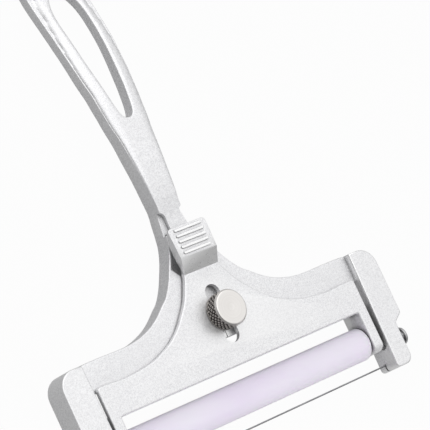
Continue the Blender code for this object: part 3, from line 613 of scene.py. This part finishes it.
# neck and shoulder: share of the head's half width, share of the height at which the handle starts
shoulderEdge = [
    (0.0687, 0.9583), (0.0748, 0.8897), (0.08, 0.8338), (0.0852, 0.7922), (0.0922, 0.7363),
    (0.106, 0.6756), (0.1275, 0.604), (0.156, 0.529), (0.1795, 0.468), (0.21, 0.4025), (0.2425, 0.346),
    (0.2815, 0.302), (0.327, 0.248), (0.3765, 0.2015), (0.431, 0.1677), (0.49, 0.1438), (0.555, 0.131),
    (0.63, 0.1294), (0.72, 0.1318), (0.8, 0.131), (0.845, 0.127), (0.875, 0.119),
]
# side view: share of the way up, then front and back heights as shares of the depth
sideView = [
    (0.001, 0, -1), (0.029, 0.05, -0.96), (0.071, 0.12, -0.88), (0.127, 0.148, -0.8),
    (0.19, 0.146, -0.75), (0.246, 0.126, -0.73), (0.301, 0.09, -0.7), (0.357, 0.04, -0.685),
    (0.413, 0, -0.69), (0.469, -0.042, -0.725), (0.525, -0.14, -0.8), (0.581, -0.255, -0.88),
    (0.637, -0.37, -0.97), (0.693, -0.53, -1.13), (0.749, -0.72, -1.31), (0.804, -0.91, -1.5),
    (0.86, -1.08, -1.68), (0.93, -1.3, -1.9), (1, -1.51, -2.098),
]
# across the handle: height, then rim ledge, rise of the crown, its run, fall to the hole's edge, its run
crownTable = [
    (30.0, 0.0, 0.0, 1.0, 0.0, 1.0), (36.0, 0.1, 0.05, 1.0, 0.0, 1.0), (42.0, 0.15, 0.4, 1.3, 0.0, 1.0),
    (52.0, 0.2, 0.7, 1.8, 0.0, 1.0), (60.0, 0.25, 0.9, 2.9, 0.1, 1.0), (68.0, 0.3, 1.0, 3.3, 0.3, 1.1),
    (80.0, 0.4, 1.05, 3.4, 0.4, 1.2), (90.0, 0.9, 1.05, 2.8, 0.4, 1.2), (97.0, 1.6, 1.05, 2.1, 0.4, 1.2),
    (104.0, 2.0, 1.0, 2.0, 0.3, 1.2), (114.0, 1.6, 0.8, 2.0, 0.0, 1.0),
]


def frontAndBack(y):
    c = casting
    front, back = lookUp(sideView, (y - c["sideStart"]) / (c["handleTop"] - c["sideStart"]))
    return front * c["depth"], back * c["depth"]


def armInner(drop):
    # x of the arm's inner side, at a drop below the head's middle
    c = casting
    return c["headHalf"] - c["armWidth"] - c["armGrowth"] * max(drop, 0.0) / -c["armTip"]


def frameRows():
    # pairs of an outer and an inner point, down the right half from the top of the handle to the arm
    c, turn = casting, rowTurn
    length = c["handleTop"] - c["handleStart"]
    edge = curveThrough([(c["handleStart"] + a * length, b * c["handleHalf"]) for a, b in handleEdge], 3)
    holeLength = c["holeEnd"] - c["holeStart"]
    hole = curveThrough([(c["holeStart"] + a * holeLength, b * c["holeHalf"]) for a, b in holeEdge], 2)
    heights = sorted({round(y, 2) for y, x in edge + hole}, reverse=True)
    holeEnds = (c["holeStart"], c["holeEnd"])
    kept = []
    for y in heights:
        atEnd = any(abs(y - end) < turn["endGap"] for end in holeEnds)
        if not kept or kept[-1] - y > turn["gap"] or atEnd:
            kept.append(y)
    rows = []
    for y in kept:
        inside = 0.0
        if c["holeStart"] < y < c["holeEnd"]:
            inside = lookUp(hole, y)[0]
        rows.append(((lookUp(edge, y)[0], y), (inside, y)))
    shoulder = curveThrough([(x * c["headHalf"], y * c["handleStart"]) for x, y in shoulderEdge], 2)
    shoulder.append((c["shoulderEnd"], shoulder[-1][1] - c["shoulderDrop"]))
    for x, y in shoulder:
        if x <= turn["from"]:
            inner = (0.0, y)
        elif x <= turn["to"]:
            t = (x - turn["from"]) / (turn["to"] - turn["from"])
            inner = (0.0, turn["height"] + (c["lowerEdge"] - turn["height"]) * t)
        else:
            t = (x - turn["to"]) / (c["shoulderEnd"] - turn["to"])
            inner = (c["shoulderEnd"] * t, c["lowerEdge"])
        rows.append(((x, y), inner))
    return rows


def quarter(t):
    # height of a quarter circle, from 0 to 1, at a share of its run
    t = min(max(t, 0.0), 1.0)
    return math.sqrt(1.0 - (1.0 - t) ** 2)


def frameSkin():
    # both halves of the casting as one skin: a grid laid over its front, then pulled to its back
    c = casting
    rows = frameRows()
    columns = len(nearOuter) + 1 + len(nearInner)
    bm = bmesh.new()
    bmesh.ops.create_grid(bm, x_segments=columns - 1, y_segments=len(rows) - 1, size=1.0)
    heightLayer = bm.verts.layers.float.new("backHeight")
    order = sorted(bm.verts, key=lambda v: (round(v.co.y, 5), round(v.co.x, 5)))
    for r, (outer, inner) in enumerate(rows):
        outer, inner = Vector(outer), Vector(inner)
        wide = (outer - inner).length
        scale = min(1.0, wide / rowTurn["fullWidth"])
        middle = (nearOuter[-1] * scale + wide - nearInner[0] * scale) / 2
        steps = [d * scale for d in nearOuter] + [middle] + [wide - d * scale for d in nearInner]
        onCentre = inner.x < tiny
        onLower = inner.y <= c["lowerEdge"] + tiny
        for k, d in enumerate(steps):
            place = outer + (inner - outer) * (d / wide if wide > 0.0 else 0.0)
            front, back = frontAndBack(place.y)
            ledge, rise, run, fall, fallRun = lookUp(crownTable, place.y)
            z = front + rise * quarter((d - ledge) / run)
            left = wide - d
            rimRound = lookUp(rimTable, place.y)[0]
            z -= rimRound * (1.0 - quarter(d / rimRound))
            low = back + c["edge"] * (1.0 - quarter(d / c["edge"]))
            if not onCentre and not onLower:
                # the hole's edge falls away in front and flares at the back
                z -= fall * (1.0 - quarter(left / fallRun))
                z -= c["holeRim"] * (1.0 - quarter(left / c["holeRimRun"]))
                low += c["holeFlare"] * (1.0 - min(left / c["holeFlareRun"], 1.0))
                low += c["holeBackRim"] * (1.0 - quarter(left / c["holeBackRim"]))
            if onLower:
                z -= c["edge"] * (1.0 - quarter(left / c["edge"]))
                low += c["edge"] * (1.0 - quarter(left / c["edge"]))
            vert = order[r * columns + k]
            vert.co = (place.x, place.y, z)
            vert[heightLayer] = low
    made = bmesh.ops.extrude_face_region(bm, geom=bm.faces[:], use_keep_orig=True)
    for v in made["geom"]:
        if isinstance(v, bmesh.types.BMVert):
            v.co.z = v[heightLayer]
    inMiddle = [f for f in bm.faces if all(abs(v.co.x) < tiny for v in f.verts)]
    bmesh.ops.delete(bm, geom=inMiddle, context="FACES")
    bmesh.ops.mirror(bm, geom=bm.verts[:] + bm.edges[:] + bm.faces[:], axis="X", merge_dist=mergeGap)
    bmesh.ops.remove_doubles(bm, verts=bm.verts, dist=mergeGap)
    bmesh.ops.dissolve_degenerate(bm, edges=bm.edges, dist=tiny)
    bmesh.ops.recalc_face_normals(bm, faces=bm.faces)
    return bm


def rebateOutline(c):
    # step beside the ridge, above the thumb pad
    low = c["pocketTop"] - c["pocketWall"]
    top = (c["ridgeHalf"], c["rebateTop"])
    outline = [(c["ridgeHalf"], low), (c["rebateHalf"], low), (c["rebateHalf"], c["rebateTop"])]
    return outline + cornerArc(top, outline[-1], outline[0], c["rebateTurn"], 6)


def pocketOutline(c):
    # hollow under the thumb pad, with a thin wall left along the neck
    outline = [(c["ridgeHalf"], c["pocketTop"])]
    for x, y in shoulderEdge:
        if c["pocketLow"] <= y * c["handleStart"] <= c["pocketTop"]:
            outline.append((x * c["headHalf"] - c["pocketWall"] * c["pocketSlant"], y * c["handleStart"]))
    return outline + [c["pocketEnd"], (c["ridgeHalf"], c["pocketEnd"][1])]


def cylinder(radius, length, place, segments, lying=False):
    bm = bmesh.new()
    matrix = Matrix.Translation(place)
    if lying:
        matrix = matrix @ Matrix.Rotation(math.radians(90), 4, "Y")
    bmesh.ops.create_cone(bm, cap_ends=True, segments=segments, radius1=radius, radius2=radius, depth=length,
                          matrix=matrix)
    return bm


def makeFrame():
    c = casting
    body = addObject(frameSkin(), "frameCasting")
    tools = []
    stepX = c["headHalf"] - c["stepDepth"]
    stepEnd = c["stepY"] - c["stepLength"]
    corners = [(armInner(0.0), c["armTop"], 0.0), (c["headHalf"], c["armTop"], c["armTopRadius"]),
               (c["headHalf"], c["stepY"], c["stepRadius"]), (stepX, stepEnd, c["stepEndRadius"]),
               (stepX, c["armTip"], c["tipRadius"]), (armInner(-c["armTip"]), c["armTip"], c["heelRadius"])]
    arm = roundedOutline(corners, 8)
    # slit for the wire, open to the tip and to both sides
    slitNear = armInner(-c["armTip"]) - c["slitSpare"]
    slitFar = c["headHalf"] + c["slitSpare"]
    slitEnd = c["armTip"] - c["slitSpare"]
    slit = [(slitNear, slitEnd), (slitFar, slitEnd), (slitFar, c["slitTop"]), (slitNear, c["slitTop"])]
    for side in (1, -1):
        rebate = onSide(rebateOutline(c), side)
        pocket = onSide(pocketOutline(c), side)
        tools.append((slab(onSide(arm, side), c["armBack"], c["armRise"], c["edge"], c["edge"], 3), "UNION"))
        tools.append((slab(rebate, c["rebateFloor"], c["cutHeight"]), "DIFFERENCE"))
        tools.append((slab(pocket, c["pocketFloor"], c["cutHeight"]), "DIFFERENCE"))
        tools.append((slab(onSide(slit, side), c["slitFrom"], c["slitTo"]), "DIFFERENCE"))
    sink = obround(c["slotSinkHalf"], c["slotSinkTravel"], (0.0, c["slotSinkY"]), True, 16)
    tools.append((slab(sink, -c["slotSink"], c["cutHeight"]), "DIFFERENCE"))
    screwPlace = (0.0, knobAlong, c["screwBoreZ"])
    tools.append((cylinder(c["screwBore"], c["screwBoreDepth"], screwPlace, 32), "DIFFERENCE"))
    x, y, z = c["wireBorePlace"]
    for side in (1, -1):
        bore = cylinder(c["wireBore"], c["wireBoreDepth"], (side * x, y, z), 24, True)
        tools.append((bore, "DIFFERENCE"))
    cutOrJoin(body, tools)
    finishPiece(body, "frame", ["frame"], look["casting"], sharpAngles["casting"])


makeFrame()

# the sliding carriage
slider = {"low": 0.3, "plate": 1.35, "sideGap": 0.75, "armWidth": 3.45, "armBack": -6.0, "armTip": -24.1,
          "tipRound": 0.46, "innerRadius": 0.5, "lowerEdge": -11.75, "lip": 1.2, "lipBack": -3.0,
          "corner": 1.0, "rim": 0.6, "backRim": 0.1, "overlap": 0.4, "armRim": 0.3, "lipRim": 0.2,
          "slotCentre": 2.9, "slotTravel": 6.05, "slotHalf": 2.47, "slotCut": (-3.0, 6.0),
          "axleY": -19.9, "axleZ": -3.3, "axleBore": 1.8, "boreLength": 110.0,
          "padTop": 28.95, "padMiddle": 24.6, "padFoot": 20.4, "padBase": 16.1, "padTopHalf": 6.75,
          "padFootHalf": 6.5, "padBaseHalf": 6.0, "padHigh": 2.05, "padLow": 2.15, "padThin": 0.75,
          "padSink": 0.5, "padMiddleSink": 0.2, "padCorner": 1.1, "padRim": 0.2, "padBlock": 10.0,
          "padMerge": 0.02, "rimAngle": 0.6, "rimLevel": 0.3,
          "ribs": 5, "ribHalf": 4.9, "ribWidth": 0.42, "ribHeight": 0.42, "ribPitch": 1.6, "ribSetback": 1.0,
          "ribRim": 0.17, "ribRoot": 0.3, "guideFrom": 17.0, "guideTo": 24.2, "guideX": 2.8,
          "guideWidth": 0.85, "guideBack": -0.6,
          "tipRoll": 2.4, "tipDrop": 1.9, "tipCuts": 7, "rollBack": -2.0}
# right edge of the carriage from under the pad to its outer corner, as shares of the head
sliderEdge = [
    (0.083, 0.69), (0.089, 0.559), (0.108, 0.4584), (0.115, 0.4249), (0.13, 0.3801),
    (0.146, 0.3338), (0.163, 0.2923), (0.181, 0.2524), (0.221, 0.1853), (0.262, 0.1198),
    (0.308, 0.0639), (0.358, 0.0192), (0.412, -0.016), (0.47, -0.0447), (0.53, -0.0607),
    (0.593, -0.0719), (0.661, -0.0767), (0.735, -0.0687),
]


def carriagePlate(c, inner, outer):
    # plate and both roller arms share one front
    edge = curveThrough([(x * casting["headHalf"], y * casting["handleStart"]) for x, y in sliderEdge], 3)
    low, tip = c["lowerEdge"], c["armTip"]
    tipRadius = c["armWidth"] * c["tipRound"]
    right = edge + cornerArc((outer, edge[-1][1]), edge[-1], (outer, low), c["corner"], 8)
    right += cornerArc((outer, tip), (outer, low), (inner, tip), tipRadius, 6)
    right += cornerArc((inner, tip), (outer, tip), (inner, low), tipRadius, 6)
    right += cornerArc((inner, low), (inner, tip), (0.0, low), c["innerRadius"], 4)
    points = list(reversed(right))
    return slab(points + mirrored(points), c["low"], c["low"] + c["plate"], c["rim"], c["backRim"], 4)


def makeCarriage():
    c = slider
    outer = armInner(-casting["armTip"]) - c["sideGap"]
    inner = outer - c["armWidth"]
    face = c["low"] + c["plate"]
    lipTop = c["lowerEdge"] + c["lip"]
    joined = c["low"] + c["overlap"]
    body = addObject(carriagePlate(c, inner, outer), "carriageCasting")
    tools = []
    tipRadius = c["armWidth"] * c["tipRound"]
    corners = [(inner, lipTop, 0.0), (inner, c["armTip"], tipRadius), (outer, c["armTip"], tipRadius),
               (outer, lipTop, 0.0)]
    arm = roundedOutline(corners, 6)
    for side in (1, -1):
        tools.append((slab(onSide(arm, side), c["armBack"], joined, 0.0, c["armRim"]), "UNION"))
    reach = inner + c["armWidth"] / 3
    lipLow = c["lowerEdge"] + c["backRim"]
    lip = [(-reach, lipLow), (reach, lipLow), (reach, lipTop), (-reach, lipTop)]
    tools.append((slab(lip, c["lipBack"], joined, 0.0, c["lipRim"]), "UNION"))
    tools.append((makePad(c, face), "UNION"))
    fall = (c["padHigh"] - c["padLow"]) / (c["padTop"] - c["padFoot"])
    for i in range(c["ribs"]):
        y = c["padTop"] - c["ribSetback"] - i * c["ribPitch"]
        ground = face + c["padHigh"] - fall * (c["padTop"] - y)
        outline = obround(c["ribWidth"], c["ribHalf"] - c["ribWidth"], (0.0, y), False, 6)
        rib = slab(outline, ground - c["ribRoot"], ground + c["ribHeight"], c["ribRim"], 0.0, 3)
        tools.append((rib, "UNION"))
    near, far = c["guideX"], c["guideX"] + c["guideWidth"]
    guide = [(near, c["guideFrom"]), (far, c["guideFrom"]), (far, c["guideTo"]), (near, c["guideTo"])]
    for side in (1, -1):
        tools.append((slab(onSide(guide, side), c["guideBack"], face - c["overlap"]), "UNION"))
    slot = obround(c["slotHalf"], c["slotTravel"], (0.0, c["slotCentre"]), True, 16)
    tools.append((slab(slot, *c["slotCut"]), "DIFFERENCE"))
    bore = cylinder(c["axleBore"], c["boreLength"], (0.0, c["axleY"], c["axleZ"]), 32, True)
    tools.append((bore, "DIFFERENCE"))
    cutOrJoin(body, tools)
    rollTips(body, c)
    finishPiece(body, "carriage", ["carriage"], look["casting"], sharpAngles["casting"])


def rollTips(body, c):
    # the arms' fronts roll over towards their tips, less and less towards the back
    bm = bmesh.new()
    bm.from_mesh(body.data)
    start = c["armTip"] + c["tipRoll"]
    depth = c["low"] + c["plate"] - c["rollBack"]
    for i in range(c["tipCuts"]):
        geom = bm.verts[:] + bm.edges[:] + bm.faces[:]
        place = (0.0, c["armTip"] + c["tipRoll"] * (1.0 - i / c["tipCuts"]), 0.0)
        bmesh.ops.bisect_plane(bm, geom=geom, dist=mergeGap, plane_co=place, plane_no=(0.0, 1.0, 0.0))
    for v in bm.verts:
        t = min(max((start - v.co.y) / c["tipRoll"], 0.0), 1.0)
        drop = c["tipDrop"] * (1.0 - math.sqrt(1.0 - t * t))
        v.co.z -= drop * min(max((v.co.z - c["rollBack"]) / depth, 0.0), 1.0)
    bm.to_mesh(body.data)
    bm.free()


def makePad(c, face):
    # wedge under the thumb: its front slopes up from the plate to the foot, its back thins towards the top
    front = [(c["padBase"], face), (c["padFoot"], face + c["padLow"]), (c["padTop"], face + c["padHigh"])]
    back = [(c["padFoot"], face - c["padSink"]), (c["padMiddle"], face - c["padMiddleSink"]),
            (c["padTop"], face + c["padHigh"] - c["padThin"])]
    corners = [(c["padBaseHalf"], c["padBase"], 0.0), (c["padFootHalf"], c["padFoot"], 0.0),
               (c["padTopHalf"], c["padTop"], c["padCorner"])]
    corners += [(-x, y, radius) for x, y, radius in reversed(corners)]
    bm = slab(roundedOutline(corners, 6), 0.0, c["padBlock"])
    for y in (c["padFoot"], c["padMiddle"]):
        geom = bm.verts[:] + bm.edges[:] + bm.faces[:]
        bmesh.ops.bisect_plane(bm, geom=geom, dist=mergeGap, plane_co=(0.0, y, 0.0), plane_no=(0.0, 1.0, 0.0))
    for v in bm.verts:
        v.co.z = lookUp(front if v.co.z > c["padBlock"] / 2 else back, v.co.y)[0]
    bmesh.ops.recalc_face_normals(bm, faces=bm.faces)
    # only the level, sharp edges are rounded
    sharp = [e for e in bm.edges if e.calc_face_angle(0.0) > c["rimAngle"]]
    rims = [e for e in sharp if abs(e.verts[0].co.z - e.verts[1].co.z) < c["rimLevel"]]
    bmesh.ops.bevel(bm, geom=rims, offset=c["padRim"], segments=3, profile=0.5, affect="EDGES", material=-1,
                    clamp_overlap=True)
    bmesh.ops.remove_doubles(bm, verts=bm.verts, dist=c["padMerge"])
    return bm


makeCarriage()

# the turned pieces


def turned(profile, steps, lying=False, place=(0.0, 0.0, 0.0)):
    # line of (radius, height) spun into a body, upright or lying along X
    bm = bmesh.new()
    line = [bm.verts.new((r, 0.0, z)) for r, z in profile]
    edges = [bm.edges.new(pair) for pair in zip(line[:-1], line[1:])]
    if profile[0][0] > 0.0:
        edges.append(bm.edges.new((line[-1], line[0])))
    bmesh.ops.spin(bm, geom=line + edges, cent=(0, 0, 0), axis=(0, 0, 1), angle=math.tau, steps=steps,
                   use_merge=True)
    bmesh.ops.remove_doubles(bm, verts=bm.verts, dist=mergeGap)
    bmesh.ops.dissolve_degenerate(bm, edges=bm.edges, dist=tiny)
    if lying:
        bmesh.ops.rotate(bm, verts=bm.verts, cent=(0, 0, 0), matrix=Matrix.Rotation(math.pi / 2, 3, "Y"))
    bmesh.ops.translate(bm, verts=bm.verts, vec=place)
    bmesh.ops.recalc_face_normals(bm, faces=bm.faces)
    return bm


roller = {"radius": 4.72, "bore": 1.8, "endGap": 0.3, "endRound": 0.55, "boreRound": 0.15, "steps": 128}


def makeRoller():
    c = roller
    half = armInner(-casting["armTip"]) - slider["sideGap"] - slider["armWidth"] - c["endGap"]
    section = [(c["bore"], half, c["boreRound"]), (c["radius"], half, c["endRound"]),
               (c["radius"], -half, c["endRound"]), (c["bore"], -half, c["boreRound"])]
    bm = turned(roundedOutline(section, 5), c["steps"], True, (0.0, slider["axleY"], slider["axleZ"]))
    sleeve = addObject(bm, "rollerSleeve")
    finishPiece(sleeve, "roller", ["roller"], look["roller"], sharpAngles["turned"])


axle = {"radius": 1.5, "endSetback": 0.4, "edge": 0.2, "steps": 48}


def makeAxle():
    c = axle
    half = armInner(-casting["armTip"]) - slider["sideGap"] - c["endSetback"]
    section = [(0.0, half, 0.0), (c["radius"], half, c["edge"]), (c["radius"], -half, c["edge"]),
               (0.0, -half, 0.0)]
    bm = turned(roundedOutline(section, 3), c["steps"], True, (0.0, slider["axleY"], slider["axleZ"]))
    rod = addObject(bm, "rollerRod")
    finishPiece(rod, "carriage", ["roller_axle"], look["steel"], sharpAngles["turned"])


clampScrew = {"radius": 5.2, "topRadius": 4.76, "chamfer": 0.5, "base": 1.75, "height": 4.798,
              "knurls": 50, "knurlDepth": 0.4, "knurlPitch": 0.7, "knurlRows": 36, "knurlFoot": 0.35,
              "fadeRun": 0.25, "fadeLeast": 0.2, "studRadius": 1.95, "studEnd": -5.1, "studTip": 0.5,
              "studRecess": 0.15, "threadPitch": 0.7, "threadDepth": 0.16, "threadStart": 0.1,
              "threadEnd": 0.6, "threadCrest": (0.4, 0.55), "knurlSkin": 0.02,
              # dimple in the middle of the face, and the face's rounded rim from its radius and top
              "dimple": [(0.0, -0.02), (0.8, -0.01), (1.0, 0.0)],
              "rim": [(-0.3, 0.0), (-0.12, 0.0), (0.0, -0.05), (0.05, -0.12)],
              # rounding under the knurl from its radius and base
              "foot": [(-0.1, 0.2), (-0.35, 0.0)], "recessRadii": (2.6, 2.4)}


def clampProfile(c, low, high):
    # half section of the clamp screw, from the middle of its face down to its stud's end
    top = c["base"] + c["height"]
    profile = [(r, top + z) for r, z in c["dimple"]] + [(c["topRadius"] + r, top + z) for r, z in c["rim"]]
    for i in range(c["knurlRows"] + 1):
        profile.append((c["radius"], high + (low - high) * i / c["knurlRows"]))
    profile += [(c["radius"] + r, c["base"] + z) for r, z in c["foot"]]
    root = c["studRadius"] - c["threadDepth"]
    recess = c["base"] + c["studRecess"]
    wide, narrow = c["recessRadii"]
    profile += [(wide, c["base"]), (narrow, recess), (root, recess)]
    z = c["base"] - c["threadStart"]
    while z > c["studEnd"] + c["threadEnd"]:
        profile.append((root, z))
        profile += [(c["studRadius"], z - c["threadPitch"] * share) for share in c["threadCrest"]]
        z -= c["threadPitch"]
    return profile + [(root, z), (c["studRadius"] - c["studTip"], c["studEnd"]), (0.0, c["studEnd"])]


def makeClampScrew():
    c = clampScrew
    low, high = c["base"] + c["knurlFoot"], c["base"] + c["height"] - c["chamfer"]
    bm = turned(clampProfile(c, low, high), c["knurls"] * 6)
    for v in bm.verts:
        radius = math.hypot(v.co.x, v.co.y)
        toEnd = min(v.co.z - low, high - v.co.z)
        if radius > c["radius"] - c["knurlSkin"] and toEnd > -c["knurlSkin"] / 2:
            # two crossing spiral grooves leave small pyramids
            turn = math.atan2(v.co.y, v.co.x) / math.tau * c["knurls"]
            rise = v.co.z / c["knurlPitch"] / 2
            grooves = [abs((turn / 2 + s * rise) % 1.0 - 0.5) * 2.0 for s in (1, -1)]
            depth = c["knurlDepth"] * max(grooves) ** 2
            fade = min(1.0, toEnd / c["fadeRun"] + c["fadeLeast"])
            scale = 1.0 - depth * fade / radius
            v.co.x *= scale
            v.co.y *= scale
    bmesh.ops.translate(bm, verts=bm.verts, vec=(0.0, knobAlong, 0.0))
    screw = addObject(bm, "clampScrew")
    finishPiece(screw, "thumbscrew", ["thumbscrew"], look["nickel"], sharpAngles["knurled"], False)


makeRoller()
makeAxle()
makeClampScrew()

# the cutting wire and its screws

wire = {"radius": 0.22, "y": -28.3, "z": -2.8, "bend": 0.7, "side": 54.3, "gap": 0.3, "bevel": 3,
        "loopFrom": -60.0, "loopTurn": 240.0, "loopSteps": 24, "dropSteps": 6, "bendSteps": 7}
wireScrew = {"y": -22.6, "z": -0.4, "radius": 1.5, "headRadius": 2.65, "headHeight": 1.3, "length": 4.2,
             "slotHalf": 0.32, "slotDepth": 0.6, "slotReach": 4.0, "seat": 1.04, "seatEdge": 0.1,
             "threadDepth": 0.14, "threadPitch": 0.5, "threadStart": 0.05, "threadEnd": 0.6, "tip": 0.45,
             "steps": 64,
             # the head's dome: share of its radius, depth under its top
             "dome": [(0.0, 0.0), (0.45, 0.03), (0.7, 0.12), (0.88, 0.3), (0.97, 0.52), (1.0, 0.75)]}


def wireRoute(w, s):
    # right half: a loop round the screw, down the arm's side and round a bend into the slit, then its mirror
    face = w["side"] + w["gap"] + w["radius"]
    ring = s["radius"] + w["gap"] + w["radius"]
    half = []
    for i in range(w["loopSteps"]):
        angle = math.radians(w["loopFrom"] + w["loopTurn"] * i / w["loopSteps"])
        half.append((face, s["y"] + ring * math.sin(angle), s["z"] + ring * math.cos(angle)))
    loopEnd = s["z"] - ring
    half.append((face, s["y"], loopEnd))
    bendY = w["y"] + w["bend"]
    for i in range(1, w["dropSteps"] + 1):
        t = i / w["dropSteps"]
        half.append((face, s["y"] + (bendY - s["y"]) * t, loopEnd + (w["z"] - loopEnd) * t))
    for i in range(1, w["bendSteps"] + 1):
        angle = math.pi / 2 * i / w["bendSteps"]
        x = face - w["bend"] * (1 - math.cos(angle))
        half.append((x, bendY - w["bend"] * math.sin(angle), w["z"]))
    return half + [(-x, y, z) for x, y, z in reversed(half)]


def makeWire():
    points = wireRoute(wire, wireScrew)
    data = bpy.data.curves.new("wireLine", "CURVE")
    data.dimensions = "3D"
    data.bevel_depth = wire["radius"]
    data.bevel_resolution = wire["bevel"]
    data.use_fill_caps = True
    spline = data.splines.new("POLY")
    spline.points.add(len(points) - 1)
    for item, point in zip(spline.points, points):
        item.co = (*point, 1.0)
    line = bpy.data.objects.new("wireLine", data)
    bpy.context.scene.collection.objects.link(line)
    mesh = bpy.data.meshes.new_from_object(line.evaluated_get(bpy.context.evaluated_depsgraph_get()))
    bpy.data.objects.remove(line)
    obj = bpy.data.objects.new("tautWire", mesh)
    bpy.context.scene.collection.objects.link(obj)
    finishPiece(obj, "frame", ["cutting_wire"], look["wire"], sharpAngles["turned"], False)


def makeWireScrew(side, label):
    c = wireScrew
    top = c["seat"] + c["headHeight"]
    r = c["headRadius"]
    profile = [(r * share, top - depth) for share, depth in c["dome"]]
    profile += [(r, c["seat"] + c["seatEdge"]), (r - c["seatEdge"], c["seat"]), (c["radius"], c["seat"])]
    z = c["seat"] - c["threadStart"]
    while z > c["threadEnd"] - c["length"]:
        profile += [(c["radius"] - c["threadDepth"], z - c["threadPitch"] / 2),
                    (c["radius"], z - c["threadPitch"])]
        z -= c["threadPitch"]
    profile += [(c["radius"] - c["tip"], -c["length"]), (0.0, -c["length"])]
    screw = addObject(turned(profile, c["steps"]), "panScrew_" + label)
    half, reach = c["slotHalf"], c["slotReach"]
    cut = [(-half, -reach), (half, -reach), (half, reach), (-half, reach)]
    cutOrJoin(screw, [(slab(cut, top - c["slotDepth"], top + reach), "DIFFERENCE")])
    # laid on its side against the arm, its slot along the head
    place = Matrix.Translation((side * wire["side"], c["y"], c["z"]))
    turn = Matrix.Rotation(side * math.pi / 2, 4, "Y") @ Matrix.Rotation(math.pi / 2, 4, "Z")
    screw.data.transform(place @ turn)
    finishPiece(screw, "frame", ["wire_screw_" + label], look["steel"], sharpAngles["slotted"])


makeWire()
makeWireScrew(1, "right")
makeWireScrew(-1, "left")
